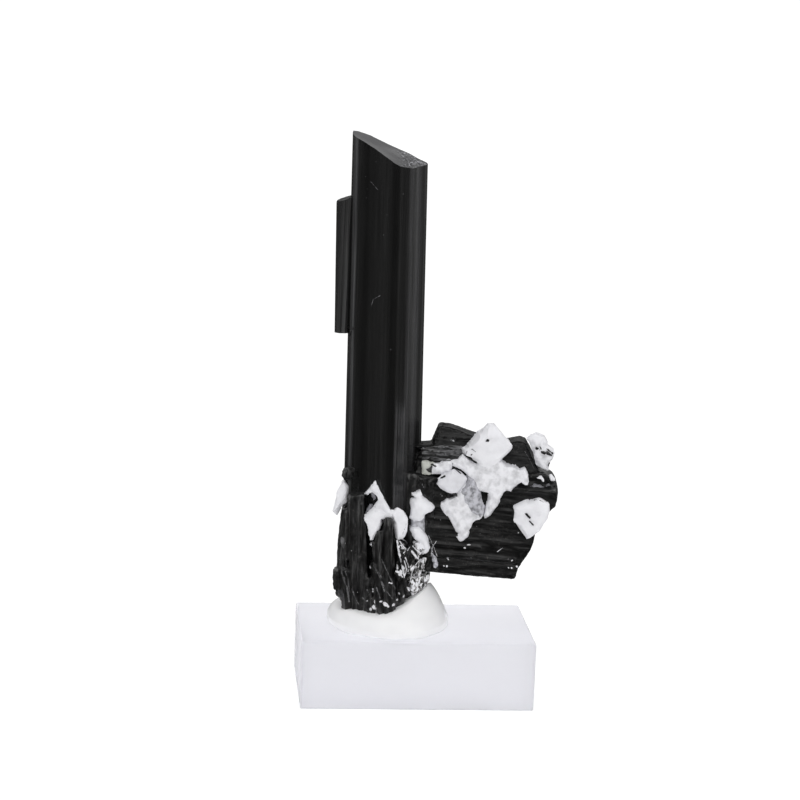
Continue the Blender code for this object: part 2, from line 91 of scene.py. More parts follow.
# Main crystal: the outline of its section at the height of its peak, and how it runs down from there.
PEAK_HEIGHT = 77.0
PEAK_X = -10.72
PRISM_FOOT = 12.0
PRISM_CENTRE = np.array((-5.4, -1.0))
PRISM_LEAN = 0.0132
PRISM_TAPER = 0.0007
TOP_DIP = math.radians(26)
TOP_BEARING = math.radians(27)
PRISM_OUTLINE = (
    (-10.7, -0.4), (-10.6, -1.5), (-10.2, -2.0), (-9.3, -2.25), (-8.0, -3.1), (-6.7, -4.35),
    (-5.5, -5.6), (-4.8, -5.8), (-3.4, -4.5), (-2.9, -3.8), (-1.8, -1.5), (-1.1, -0.2), (-0.6, 1.1),
    (-0.75, 1.6), (-1.7, 1.5), (-2.9, 2.0), (-5.6, 1.8), (-8.3, 2.0), (-9.9, 1.3), (-10.6, 0.5),
)

# Side crystal: (height, left side, right side) of each end, and its outline as (share of width, depth Y).
SIDE_ENDS = ((50.1, -12.25, -9.8), (68.1, -12.55, -10.25))
SIDE_OUTLINE = (
    (0.0, -0.5), (0.25, -1.3), (0.62, -1.5), (0.95, -0.9), (1.0, 0.6), (0.55, 1.3), (0.1, 0.8),
)

# Painted reflection bands along the two crystals: (X at the height that the lean is measured from, grey of
# the band).
PRISM_REFLECTION_BANDS = (
    (-10.7, "1C1C1C"), (-10.3, "444445"), (-10.0, "161616"), (-8.8, "070707"), (-8.1, "141414"),
    (-6.3, "1B1B1B"), (-5.5, "060606"), (-4.9, "080808"), (-4.6, "1C1C1C"), (-4.2, "101010"),
    (-3.6, "141414"), (-3.0, "363637"), (-2.6, "262626"), (-2.1, "3E3E3F"), (-1.6, "303031"),
    (-1.4, "0A0A0A"), (-0.8, "202020"), (-0.6, "101010"),
)
SIDE_LEAN = 0.0167
SIDE_REFLECTION_BANDS = (
    (-12.3, "202020"), (-12.1, "2C2C2C"), (-11.5, "2A2A2A"), (-11.25, "404040"), (-11.05, "3A3A3A"),
    (-10.95, "1A1A1A"), (-10.7, "0C0C0C"), (-10.2, "0C0C0C"),
)

# Cross crystal: where its axes start, and its axes S along it, V into it and T up.
CROSS_START = np.array((0.0, -3.6, 18.3))
CROSS_YAW = math.radians(8)
CROSS_DIP = math.radians(2.5)
CROSS_S = np.array(
    (
        math.cos(CROSS_YAW) * math.cos(CROSS_DIP),
        -math.sin(CROSS_YAW) * math.cos(CROSS_DIP),
        -math.sin(CROSS_DIP),
    )
)
CROSS_V = np.array((math.sin(CROSS_YAW), math.cos(CROSS_YAW), 0.0))
CROSS_T = np.cross(CROSS_S, CROSS_V)
CROSS_AXES = (CROSS_S, CROSS_V, CROSS_T)

# Turns of a pattern: none, and the one that lays it along the cross crystal.
UPRIGHT = (0.0, 0.0, 0.0)
ALONG_CROSS = (0.0, CROSS_DIP, -CROSS_YAW)

# The block, and the depth of the wall round the edge of a lump.
BLOCK_SIZE = (31.75, 19.05, 9.525)
WALL = 0.3

# Fronts of the main crystal and of its foot: depth Y at each X.
PRISM_FRONT = ((-10.2, -1.4), (-9.6, -2.3), (-7.4, -3.3), (-4.3, -5.8), (-2.3, -3.8), (0.2, 0.8))
FOOT_FRONT = (
    (-11.0, -1.5), (-10.0, -3.4), (-8.5, -4.7), (-6.0, -6.3), (-4.2, -7.0), (-2.5, -6.2), (0.0, -4.7),
    (1.4, -3.6),
)


# Shapes


def noise(points, grain, seed, crisp):
    """Noise from -1 to 1 at each point, in lumps of the grain, one size or three. Crisp noise has creases."""
    table = np.random.default_rng(seed).uniform(-1.0, 1.0, 4096)
    cell = points / np.asarray(grain, float)
    base = np.floor(cell).astype(np.int64)
    share = cell - base
    if not crisp:
        share = share * share * (3 - 2 * share)
    total = np.zeros(len(points))
    for corner in np.ndindex(2, 2, 2):
        x, y, z = (base + corner).T
        weight = np.prod(np.where(corner, share, 1 - share), axis=1)
        # Large primes scatter the corners of the grid over the table.
        total += weight * table[(x * 73856093 ^ y * 19349663 ^ z * 83492791) % len(table)]
    return total


def loft(rings):
    """Points and faces of a solid through rings of equal length, closed by a fan at each end."""
    rings = np.asarray(rings, float)
    rows, count = rings.shape[:2]
    points = np.vstack([rings.reshape(-1, 3), rings[0].mean(0), rings[-1].mean(0)])
    here = np.arange(count)
    after = (here + 1) % count
    faces = []
    for row in range(rows - 1):
        low, high = row * count, (row + 1) * count
        faces += np.stack([low + here, low + after, high + after, high + here], 1).tolist()
    first, last, top = rows * count, rows * count + 1, (rows - 1) * count
    faces += np.stack([here * 0 + first, after, here], 1).tolist()
    faces += np.stack([here * 0 + last, top + here, top + after], 1).tolist()
    return points, faces


def joined(shapes):
    """One set of points and faces from several."""
    points, faces, start = [], [], 0
    for some_points, some_faces in shapes:
        points.append(some_points)
        faces += [[start + i for i in face] for face in some_faces]
        start += len(some_points)
    return np.vstack(points), faces


def mesh_of(points, faces):
    """Mesh in metres of points in millimetres, with its normals turned out."""
    mesh = bpy.data.meshes.new("shape")
    mesh.from_pydata((np.asarray(points) * MM).tolist(), [], faces)
    shape = bmesh.new()
    shape.from_mesh(mesh)
    bmesh.ops.recalc_face_normals(shape, faces=shape.faces)
    shape.to_mesh(mesh)
    shape.free()
    return mesh


def points_of(mesh):
    """Points of a mesh in millimetres."""
    flat = np.empty(len(mesh.vertices) * 3)
    mesh.vertices.foreach_get("co", flat)
    return flat.reshape(-1, 3) / MM


def normals_of(mesh):
    """Which way the surface faces at each point."""
    flat = np.empty(len(mesh.vertices) * 3, np.float32)
    mesh.vertex_normals.foreach_get("vector", flat)
    return flat.reshape(-1, 3).astype(float)


def moved(mesh, points):
    """Gives the mesh new points in millimetres."""
    mesh.vertices.foreach_set("co", (points * MM).ravel())
    mesh.update()


def linked(name, data):
    """A new object of the scene that shows the data."""
    obj = bpy.data.objects.new(name, data)
    bpy.context.scene.collection.objects.link(obj)
    return obj


def fused(shapes, voxel):
    """One closed mesh round several overlapping solids, rebuilt in faces about the voxel's size."""
    obj = linked("fused", mesh_of(*joined(shapes)))
    step = obj.modifiers.new("fuse", "REMESH")
    step.mode = "VOXEL"
    step.voxel_size = voxel * MM
    graph = bpy.context.evaluated_depsgraph_get()
    mesh = bpy.data.meshes.new_from_object(obj.evaluated_get(graph))
    bpy.data.objects.remove(obj)
    return mesh


def softened(mesh, rounds, strength=0.5):
    """Evens the mesh by drawing each point towards the middle of its neighbours."""
    pairs = np.empty(len(mesh.edges) * 2, np.int32)
    mesh.edges.foreach_get("vertices", pairs)
    a, b = pairs.reshape(-1, 2).T
    points = points_of(mesh)
    count = np.bincount(a, minlength=len(points)) + np.bincount(b, minlength=len(points))
    for _ in range(rounds):
        for axis in range(3):
            value = points[:, axis]
            total = np.bincount(a, value[b], len(points)) + np.bincount(b, value[a], len(points))
            points[:, axis] = value + strength * (total / np.maximum(count, 1) - value)
    moved(mesh, points)


def cleaved(mesh, size, strength, seed, stretch=(1.0, 1.0, 1.0), axes=None):
    """Flattens patches of the surface about the given size across, as a mineral cleaves or splinters."""
    points, normals = points_of(mesh), normals_of(mesh)
    local = points if axes is None else points @ np.stack(axes, 1)
    local = local / np.asarray(stretch)
    chance = np.random.default_rng(seed)
    picked = chance.random(len(local)) < 1.0 / max(2.0, points_per_patch(mesh, size))
    picked[:2] = True
    seeds = local[picked]
    tree = KDTree(len(seeds))
    for i, point in enumerate(seeds):
        tree.insert(point, i)
    tree.balance()
    cell = np.array([tree.find(point)[1] for point in local])
    count = np.maximum(np.bincount(cell, minlength=len(seeds)), 1)[:, None]
    middle = np.stack([np.bincount(cell, points[:, i], len(seeds)) for i in range(3)], 1) / count
    facing = np.stack([np.bincount(cell, normals[:, i], len(seeds)) for i in range(3)], 1)
    facing /= np.maximum(np.linalg.norm(facing, axis=1, keepdims=True), 1e-9)
    proud = np.einsum("ij,ij->i", points - middle[cell], facing[cell])
    moved(mesh, points - facing[cell] * (strength * proud)[:, None])


def points_per_patch(mesh, size):
    """How many points of the mesh lie in a patch of that size, on average."""
    area = sum(face.area for face in mesh.polygons) / MM**2
    return len(mesh.vertices) * size * size / area


def roughened(mesh, reliefs, axes=None):
    """Moves the surface along its normals by several noises, each (grain, depth, seed, crisp)."""
    points, normals = points_of(mesh), normals_of(mesh)
    local = points if axes is None else points @ np.stack(axes, 1)
    rise = sum(depth * noise(local, grain, seed, crisp) for grain, depth, seed, crisp in reliefs)
    moved(mesh, points + normals * rise[:, None])


def new_piece(name, mesh, finish, nodes=(), sharp=None):
    """A piece of the specimen from a finished mesh. It stands for the CAD nodes that are named, and its
    shading breaks at edges sharper than the given degrees."""
    mesh.name = name
    mesh.materials.append(finish)
    mesh.shade_smooth()
    if sharp is not None:
        mesh.set_sharp_from_angle(angle=math.radians(sharp))
    piece = linked(name, mesh)
    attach(piece, "root")
    if nodes:
        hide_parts(*nodes)
    return piece


def evenly(outline, spacing):
    """Points at an even spacing along a closed outline."""
    closed = np.array([*outline, outline[0]], float)
    lengths = np.linalg.norm(np.diff(closed, axis=0), axis=1)
    along = np.concatenate([[0], np.cumsum(lengths)])
    where = np.linspace(0, along[-1], max(8, round(along[-1] / spacing)), endpoint=False)
    return np.stack([np.interp(where, along, closed[:, i]) for i in (0, 1)], 1)


def between(profile, x):
    """Value at X on a profile of (X, value) points."""
    xs, values = zip(*profile)
    return np.interp(x, xs, values)


def in_cross(s, v, t):
    """Points at S, V and T on the cross crystal's axes."""
    s, v, t = np.broadcast_arrays(s, v, t)
    return CROSS_START + s[..., None] * CROSS_S + v[..., None] * CROSS_V + t[..., None] * CROSS_T


def upright(x, y, z):
    """Points at X, Y and Z."""
    return np.stack(np.broadcast_arrays(x, y, z), -1)


def on_front(profile):
    """Like upright, with depths counted from the profile's front, so a piece follows the face below it."""
    return lambda x, y, z: upright(x, between(profile, x) + y, z)


def from_edge(points, outline):
    """How far inside a closed outline each point lies. It is negative outside."""
    reach = np.full(len(points), 1e9)
    inside = np.zeros(len(points), bool)
    x, y = points.T
    for (x0, y0), (x1, y1) in zip(outline, np.roll(outline, -1, axis=0)):
        square = max((x1 - x0) ** 2 + (y1 - y0) ** 2, 1e-12)
        share = np.clip(((x - x0) * (x1 - x0) + (y - y0) * (y1 - y0)) / square, 0, 1)
        reach = np.minimum(reach, np.hypot(x - x0 - share * (x1 - x0), y - y0 - share * (y1 - y0)))
        if y0 != y1:
            inside ^= ((y0 > y) != (y1 > y)) & (x < x0 + (x1 - x0) * (y - y0) / (y1 - y0))
    return np.where(inside, reach, -reach)


def pillow(outline, front, rim, back, place, shoulder, flat):
    """A lump with the outline at its rim depth and a wall round it. It rises to its front over the
    shoulder's width from its edge, in a curve that is flatter the nearer flat is to 1."""
    edge = evenly(outline, 0.1)
    spacing, margin = 0.12, 0.07
    spans = [np.arange(low + spacing / 2, high, spacing) for low, high in zip(edge.min(0), edge.max(0))]
    grid = np.stack(np.meshgrid(*spans), -1).reshape(-1, 2)
    grid += np.random.default_rng(1).uniform(-spacing / 4, spacing / 4, grid.shape)
    inner = grid[from_edge(grid, edge) > margin]
    flat_points = [Vector(point) for point in np.vstack([edge, inner])]
    made = delaunay_2d_cdt(flat_points, [], [list(range(len(edge)))], 1, 1e-6)
    where, faces = np.array(made[0]), np.array(made[2])
    share = np.clip(from_edge(where, edge) / shoulder, 0, 1)
    rise = flat * share + (1 - flat) * np.sqrt(1 - (1 - share) ** 2)
    rise[: len(edge)] = 0
    near, far = rim - WALL / 2, rim + WALL / 2
    ahead = place(where[:, 0], near + (front - near) * rise, where[:, 1])
    behind = place(where[:, 0], far + (back - far) * rise, where[:, 1])
    count = len(where)
    here = np.arange(len(edge))
    after = np.roll(here, -1)
    walls = np.stack([here, after, count + after, count + here], 1)
    return np.vstack([ahead, behind]), [*faces.tolist(), *(faces[:, ::-1] + count).tolist(), *walls.tolist()]


def rod(start, end, wide, deep, across, chance, sides=6, taper=0.6):
    """A splinter from start to end, of an irregular section, with slanted and tapered ends. Its half
    width is wide towards across and deep at right angles to that."""
    start, end = np.asarray(start, float), np.asarray(end, float)
    along = (end - start) / np.linalg.norm(end - start)
    across = across - along * (across @ along)
    across /= np.linalg.norm(across)
    other = np.cross(along, across)
    turns = (np.arange(sides) + chance.uniform(-0.25, 0.25, sides)) * 2 * math.pi / sides
    reach = chance.uniform(0.75, 1.1, sides)
    section = np.outer(np.cos(turns) * reach * wide, across) + np.outer(np.sin(turns) * reach * deep, other)
    length = np.linalg.norm(end - start)
    nose = min(0.35 * length, 1.2 * max(wide, deep))
    slants = chance.uniform(-0.5, 0.5, (2, sides)) * wide
    rings = [
        start + section * taper + np.outer(slants[0], along),
        start + along * nose + section,
        end - along * nose + section * chance.uniform(0.85, 1.1),
        end + section * taper + np.outer(slants[1], along),
    ]
    return loft(rings)


def splinter(tree, ends, outward, half, proud, chance):
    """A rod whose ends lie on the solid's surface, met from outside, and that stands a little proud of it.
    It is left out where an end misses the solid or the surface steps between the ends."""
    away, reach, step = 12, 16, 0.5
    outward = np.asarray(outward, float)
    hits = [tree.ray_cast(Vector(end + outward * away), Vector(-outward), reach)[0] for end in ends]
    if None in hits:
        return []
    low, high = (np.array(hit) for hit in hits)
    if abs((high - low) @ outward) > step:
        return []
    sunk = outward * (half - proud)
    return [rod(low - sunk, high - sunk, half, half, np.cross(outward, high - low), chance)]


def node_shape(name, keep):
    """Points and faces of a CAD node's copy, cut to what lies on the kept side of each (point, normal)."""
    shape = bmesh.new()
    shape.from_mesh(frame["nodes"][name].data)
    bmesh.ops.remove_doubles(shape, verts=shape.verts, dist=1e-7)
    for point, normal in keep:
        cut = bmesh.ops.bisect_plane(
            shape,
            geom=shape.verts[:] + shape.edges[:] + shape.faces[:],
            plane_co=Vector(point) * MM,
            plane_no=Vector(normal),
            clear_outer=True,
        )
        rim = [item for item in cut["geom_cut"] if isinstance(item, bmesh.types.BMEdge)]
        bmesh.ops.holes_fill(shape, edges=rim)
    points = np.array([vert.co for vert in shape.verts]) / MM
    shape.verts.index_update()
    faces = [[vert.index for vert in face.verts] for face in shape.faces]
    shape.free()
    return points, faces


# Materials

SCHORL_IOR = 1.64
ALBITE_IOR = 1.53


def add(tree, kind, settings=None, links=None, stops=()):
    """A node of the tree with its settings, its inputs set to values or linked from other outputs, and the
    stops of its ramp, each (position, colour), where a number stands for a grey."""
    node = tree.nodes.new(kind)
    for name, value in (settings or {}).items():
        setattr(node, name, value)
    for name, value in (links or {}).items():
        if isinstance(value, bpy.types.NodeSocket):
            tree.links.new(value, node.inputs[name])
        else:
            node.inputs[name].default_value = value
    for i, (position, colour) in enumerate(stops):
        elements = node.color_ramp.elements
        element = elements[i] if i < len(elements) else elements.new(position)
        element.position = position
        element.color = colour if isinstance(colour, tuple) else (colour, colour, colour, 1.0)
    return node


def new_material(name, **values):
    """A material whose shader has the given values on its own sockets. Returns it, its tree and shader."""
    made = bpy.data.materials.new(name)
    made.use_nodes = True
    shader = made.node_tree.nodes["Principled BSDF"]
    for socket, value in values.items():
        shader.inputs[socket.replace("_", " ")].default_value = value
    return made, made.node_tree, shader


def feed(tree, shader, **outputs):
    """Links outputs of other nodes to the shader's sockets of those names."""
    for socket, output in outputs.items():
        tree.links.new(output, shader.inputs[socket.replace("_", " ")])


def pattern(tree, size, turn=UPRIGHT, detail=2.0, distortion=0.0):
    """Value of a noise whose features measure the given millimetres along X, Y and Z after the turn."""
    place = add(tree, "ShaderNodeTexCoord").outputs["Object"]
    turned = add(tree, "ShaderNodeMapping", {"vector_type": "TEXTURE"}, {"Vector": place, "Rotation": turn})
    scale = [1 / (MM * length) for length in size]
    scaled = add(tree, "ShaderNodeMapping", None, {"Vector": turned.outputs["Vector"], "Scale": scale})
    inputs = {"Vector": scaled.outputs["Vector"], "Scale": 1.0, "Detail": detail, "Distortion": distortion}
    return add(tree, "ShaderNodeTexNoise", None, inputs).outputs["Fac"]


def embossed(tree, shader, *reliefs):
    """Lays small reliefs over each other, each (height output, depth in mm, strength), on the shader."""
    laid = {}
    for height, depth, strength in reliefs:
        links = {"Height": height, "Distance": depth * MM, "Strength": strength, **laid}
        laid = {"Normal": add(tree, "ShaderNodeBump", None, links).outputs["Normal"]}
    feed(tree, shader, **laid)


def leaning_x(tree, lean=0.0, level=0.0):
    """X in millimetres on a crystal that leans, carried along the lean to the given height."""
    place = add(tree, "ShaderNodeTexCoord").outputs["Object"]
    axes = add(tree, "ShaderNodeSeparateXYZ", None, {"Vector": place}).outputs
    drop = add(tree, "ShaderNodeMath", {"operation": "SUBTRACT"}, {0: axes["Z"], 1: level * MM}).outputs[0]
    links = {0: drop, 1: -lean, 2: axes["X"]}
    across = add(tree, "ShaderNodeMath", {"operation": "MULTIPLY_ADD"}, links).outputs[0]
    return add(tree, "ShaderNodeMath", {"operation": "DIVIDE"}, {0: across, 1: MM}).outputs[0]


def striated_tourmaline(name, black, bands, lean, level):
    """Schorl tourmaline grown face: near-black and glassy, with striations along the crystal.
    The bands are painted reflections: greyer stripes where a face mirrors brighter surroundings, and dark
    ones between them."""
    made, tree, shader = new_material(name, Roughness=0.22, IOR=SCHORL_IOR)
    # Real striations run down to a few hundredths of a millimetre. These are as fine as shows.
    lines = pattern(tree, (0.13, 0.13, 14.0))
    ribs = pattern(tree, (0.3, 0.3, 40.0), detail=1.0)
    cloud = pattern(tree, (2.5, 2.5, 6.0), detail=3.0)
    # The stripes sway by this many millimetres at most.
    sway = 0.16
    low, high = bands[0][0], bands[-1][0]
    links = {0: ribs, 1: sway, 2: leaning_x(tree, lean, level)}
    swayed = add(tree, "ShaderNodeMath", {"operation": "MULTIPLY_ADD"}, links).outputs[0]
    links = {"Value": swayed, "From Min": low + sway / 2, "From Max": high + sway / 2}
    share = add(tree, "ShaderNodeMapRange", None, links).outputs[0]
    # These greys across X are painted reflections of the surroundings that each face mirrors.
    stops = [((x - low) / (high - low), linear(grey)) for x, grey in bands]
    tint = add(tree, "ShaderNodeValToRGB", None, {"Fac": share}, stops).outputs["Color"]
    stops = ((0.35, 0.55), (0.65, 1.4))
    fine = add(tree, "ShaderNodeValToRGB", None, {"Fac": lines}, stops).outputs["Color"]
    multiply = {"data_type": "RGBA", "blend_type": "MULTIPLY"}
    streaked = add(tree, "ShaderNodeMix", multiply, {0: 1.0, 6: tint, 7: fine}).outputs[2]
    lighten = {"data_type": "RGBA", "blend_type": "ADD"}
    body = add(tree, "ShaderNodeMix", lighten, {0: 1.0, 6: streaked, 7: black}).outputs[2]
    stops = ((0.3, 0.17), (0.7, 0.26))
    polish = add(tree, "ShaderNodeValToRGB", None, {"Fac": cloud}, stops).outputs["Color"]
    feed(tree, shader, Base_Color=body, Roughness=polish)
    embossed(tree, shader, (lines, 0.015, 0.6), (ribs, 0.03, 0.5))
    return made


def end_face_tourmaline():
    """Schorl end face: duller than the sides, grey and finely pitted, with a painted highlight of pale glint
    spots where chipped.
    """
    made, tree, shader = new_material("schorl end face", Roughness=0.45, IOR=SCHORL_IOR)
    grit = pattern(tree, (0.25, 0.25, 0.25), detail=4.0)
    glint = pattern(tree, (0.32, 0.32, 0.32), detail=3.0)
    chips = pattern(tree, (3.0, 3.0, 3.0), detail=0.0)
    # Painted highlight: pale glint spots are painted on the chipped corner, which lies to the right of this
    # stretch of X.
    links = {"Value": leaning_x(tree), "From Min": -4.9, "From Max": -3.6}
    corner = add(tree, "ShaderNodeMapRange", None, links).outputs[0]
    stops = ((0.3, linear("0C0C0E")), (0.7, linear("2A2A2F")))
    tint = add(tree, "ShaderNodeValToRGB", None, {"Fac": grit}, stops).outputs["Color"]
    stops = ((0.57, 0.0), (0.64, 1.0))
    spots = add(tree, "ShaderNodeValToRGB", None, {"Fac": glint}, stops).outputs["Color"]
    painted_glints = add(tree, "ShaderNodeMath", {"operation": "MULTIPLY"}, {0: corner, 1: spots}).outputs[0]
    # The pale glint colour is a painted highlight in the base colour.
    links = {0: painted_glints, 6: tint, 7: linear("A0A0A6")}
    body = add(tree, "ShaderNodeMix", {"data_type": "RGBA"}, links).outputs[2]
    stops = ((0.35, 0.38), (0.65, 0.52))
    polish = add(tree, "ShaderNodeValToRGB", None, {"Fac": chips}, stops).outputs["Color"]
    feed(tree, shader, Base_Color=body, Roughness=polish)
    embossed(tree, shader, (grit, 0.03, 0.5), (glint, 0.03, 0.4))
    return made


def broken_tourmaline(name, turn, along, grey, relief, gloss):
    """Schorl tourmaline as splintered bundles: the same black mineral with hackly, duller surfaces.
    Greyer streaks follow the splinters along the given axis, and fine pale dust lies in scattered patches."""
    made, tree, shader = new_material(name, Roughness=0.4, IOR=SCHORL_IOR, Specular_IOR_Level=gloss)
    fine, coarse = [0.17] * 3, [0.4] * 3
    fine[along], coarse[along] = 2.0, 3.5
    lines = pattern(tree, fine, turn)
    ribs = pattern(tree, coarse, turn, detail=3.0)
    grit = pattern(tree, (0.22, 0.22, 0.22), turn, detail=4.0)
    patches = pattern(tree, (1.6, 1.6, 1.6), turn, detail=3.0)
    stops = ((0.36, linear("060606")), (0.5, linear("121212")), (0.66, linear(grey)))
    streaks = add(tree, "ShaderNodeValToRGB", None, {"Fac": ribs}, stops).outputs["Color"]
    stops = ((0.36, 0.35), (0.64, 1.7))
    thin = add(tree, "ShaderNodeValToRGB", None, {"Fac": lines}, stops).outputs["Color"]
    multiply = {"data_type": "RGBA", "blend_type": "MULTIPLY"}
    streaked = add(tree, "ShaderNodeMix", multiply, {0: 1.0, 6: streaks, 7: thin}).outputs[2]
    stops = ((0.56, 0.0), (0.7, 1.0))
    dust = add(tree, "ShaderNodeValToRGB", None, {"Fac": grit}, stops).outputs["Color"]
    stops = ((0.45, 0.0), (0.62, 0.42))
    where = add(tree, "ShaderNodeValToRGB", None, {"Fac": patches}, stops).outputs["Color"]
    share = add(tree, "ShaderNodeMath", {"operation": "MULTIPLY"}, {0: dust, 1: where}).outputs[0]
    links = {0: share, 6: streaked, 7: linear("625F5C")}
    body = add(tree, "ShaderNodeMix", {"data_type": "RGBA"}, links).outputs[2]
    stops = ((0.35, 0.28), (0.65, 0.5))
    polish = add(tree, "ShaderNodeValToRGB", None, {"Fac": patches}, stops).outputs["Color"]
    feed(tree, shader, Base_Color=body, Roughness=polish)
    embossed(tree, shader, (ribs, relief, 0.7), (lines, 0.4 * relief, 0.8), (grit, 0.05, 0.4))
    return made


def cleaved_albite(name, tone, mottle, relief, cloud=1.3):
    """Albite feldspar, cleaved and lightly etched: white with greyer translucent patches, which are the
    darker the higher the mottle. A little light passes under the surface, which softens its edges."""
    made, tree, shader = new_material(
        name,
        Roughness=0.45,
        IOR=ALBITE_IOR,
        Subsurface_Weight=0.12,
        Subsurface_Radius=(1.0, 1.0, 1.0),
        Subsurface_Scale=0.4 * MM,
    )
    clouds = pattern(tree, (cloud, cloud, cloud), detail=4.0)
    grains = pattern(tree, (0.3, 0.3, 0.3), detail=3.0)
    stops = ((0.3, shaded(tone, 1 - mottle)), (0.58, tone))
    tint = add(tree, "ShaderNodeValToRGB", None, {"Fac": clouds}, stops).outputs["Color"]
    stops = ((0.35, 0.34), (0.65, 0.55))
    gloss = add(tree, "ShaderNodeValToRGB", None, {"Fac": grains}, stops).outputs["Color"]
    feed(tree, shader, Base_Color=tint, Roughness=gloss)
    embossed(tree, shader, (clouds, 0.15, 0.3), (grains, relief, 0.5))
    return made


def speckled_crust(white):
    """Albite crust run through with broken tourmaline needles: granular white flecked with black.
    Near the main crystal it thins to white veins on black."""
    made, tree, shader = new_material("albite and schorl crust", Roughness=0.55, IOR=ALBITE_IOR)
    grains = pattern(tree, (0.4, 0.4, 0.7), detail=4.0, distortion=0.8)
    patches = pattern(tree, (1.3, 1.3, 2.0), detail=1.0)
    links = {0: patches, 1: 0.5, 2: grains}
    total = add(tree, "ShaderNodeMath", {"operation": "MULTIPLY_ADD"}, links).outputs[0]
    # The crust thickens over this stretch of X, from black with veins to mostly white.
    stretch = {"From Min": -1.8, "From Max": -0.4, "To Min": -0.17, "To Max": 0.04}
    cover = add(tree, "ShaderNodeMapRange", None, {"Value": leaning_x(tree), **stretch}).outputs[0]
    level = add(tree, "ShaderNodeMath", {"operation": "ADD"}, {0: total, 1: cover}).outputs[0]
    stops = ((0.68, linear("121212")), (0.73, linear("4A4947")), (0.79, linear("A9A8A8")), (0.86, white))
    tint = add(tree, "ShaderNodeValToRGB", None, {"Fac": level}, stops).outputs["Color"]
    feed(tree, shader, Base_Color=tint)
    embossed(tree, shader, (grains, 0.15, 0.8))
    return made


def plain_mineral(name, tone, mottle, roughness, ior):
    """Loose grains of one mineral, lightly uneven in tone so that no grain looks moulded."""
    made, tree, shader = new_material(name, Roughness=roughness, IOR=ior)
    clouds = pattern(tree, (0.5, 0.5, 0.5), detail=3.0)
    stops = ((0.35, shaded(tone, 1 - mottle)), (0.6, tone))
    tint = add(tree, "ShaderNodeValToRGB", None, {"Fac": clouds}, stops).outputs["Color"]
    feed(tree, shader, Base_Color=tint)
    embossed(tree, shader, (clouds, 0.05, 0.4))
    return made


def pressed_putty(tone):
    """Mounting putty, pressed round the crystals by hand: white, smooth and softly glossy."""
    made, tree, shader = new_material(
        "mounting putty",
        Roughness=0.25,
        IOR=1.46,
        Subsurface_Weight=0.6,
        Subsurface_Radius=(1.0, 1.0, 1.0),
        Subsurface_Scale=3.0 * MM,
    )
    waves = pattern(tree, (3.5, 3.5, 2.5), detail=1.5)
    stops = ((0.3, linear("F4F4F6")), (0.7, tone))
    tint = add(tree, "ShaderNodeValToRGB", None, {"Fac": waves}, stops).outputs["Color"]
    feed(tree, shader, Base_Color=tint)
    embossed(tree, shader, (waves, 0.2, 0.35))
    return made


def cast_acrylic(tint):
    """Cast acrylic block, clear, with polished edges. White paper shows through it as one even pale tone,
    so its roughness is full, and light takes a cool tint from the thickness that it crosses."""
    made, tree, shader = new_material("cast acrylic", Roughness=1.0, IOR=1.49, Transmission_Weight=1.0)
    links = {"Color": linear("BCBEC7"), "Density": 0.005 / MM}
    depth = add(tree, "ShaderNodeVolumeAbsorption", None, links).outputs["Volume"]
    output = next(node for node in tree.nodes if node.type == "OUTPUT_MATERIAL")
    tree.links.new(depth, output.inputs["Volume"])
    haze = pattern(tree, (9.0, 9.0, 5.0), detail=2.0)
    stops = ((0.3, shaded(tint, 0.98)), (0.7, tint))
    tone = add(tree, "ShaderNodeValToRGB", None, {"Fac": haze}, stops).outputs["Color"]
    feed(tree, shader, Base_Color=tone)
    return made


def lit_paper(name, tone, glow):
    """Matt paper that is lit from behind, so it carries no shadow."""
    made, tree, shader = new_material(
        name, Roughness=0.9, Emission_Color=linear("FFFFFF"), Emission_Strength=glow
    )
    grain = pattern(tree, (40.0, 40.0, 40.0))
    lighter = tuple(1.05 * c for c in linear(tone))
    stops = ((0.3, linear(tone)), (0.7, lighter))
    tint = add(tree, "ShaderNodeValToRGB", None, {"Fac": grain}, stops).outputs["Color"]
    feed(tree, shader, Base_Color=tint)
    return made


# Sizes and colours that a user would change


def colour_setting(name, description, code):
    """A colour whose default is an sRGB hex code."""
    return FloatVectorProperty(
        name=name, description=description, subtype="COLOR", size=4, min=0.0, max=1.0, default=linear(code)
    )


def length_setting(name, description, millimetres):
    """A length whose default is in millimetres."""
    return FloatProperty(
        name=name, description=description, unit="LENGTH", precision=5, default=millimetres * MM
    )


class TourmalineSettings(bpy.types.PropertyGroup):
    """Colour and relief of the black crystals"""

    black: colour_setting("Black", "Body colour of the tourmaline", "050505")
    striation: length_setting("Striation depth", "Depth of the deeper grooves along the crystals", 0.08)
    splinter: length_setting("Splinter relief", "How far fine splinters stand out", 0.18)


class AlbiteSettings(bpy.types.PropertyGroup):
    """Colours and cleavage of the white mineral"""

    white: colour_setting("White", "Body colour of the albite", "F2F2F6")
    stain: colour_setting("Stain", "Colour of the iron-stained plate beside the main crystal", "D2D4CC")
    cleavage: length_setting("Cleavage size", "Width of the flat facets on the albite", 1.1)


class StandSettings(bpy.types.PropertyGroup):
    """Colours and edges of the putty and the block"""

    putty: colour_setting("Putty", "Colour of the mounting putty", "FCFCFD")
    acrylic: colour_setting("Acrylic tint", "Colour that clear acrylic gives to light through it", "F1F1F4")
    edge: length_setting("Edge radius", "Radius of the polished edges of the block", 0.35)


class StageSettings(bpy.types.PropertyGroup):
    """Brightness of the stage"""

    glow: FloatProperty(
        name="Table glow",
        description="Brightness of the table's own light",
        min=0.0,
        default=0.87,
    )
    under: FloatProperty(
        name="Glow under block",
        description="Brightness of the paper that shows through the block",
        min=0.0,
        default=0.95,
    )
    key: FloatProperty(
        name="Key light",
        description="Power of the large soft light above the front right",
        unit="POWER",
        default=0.14,
    )


# Pieces


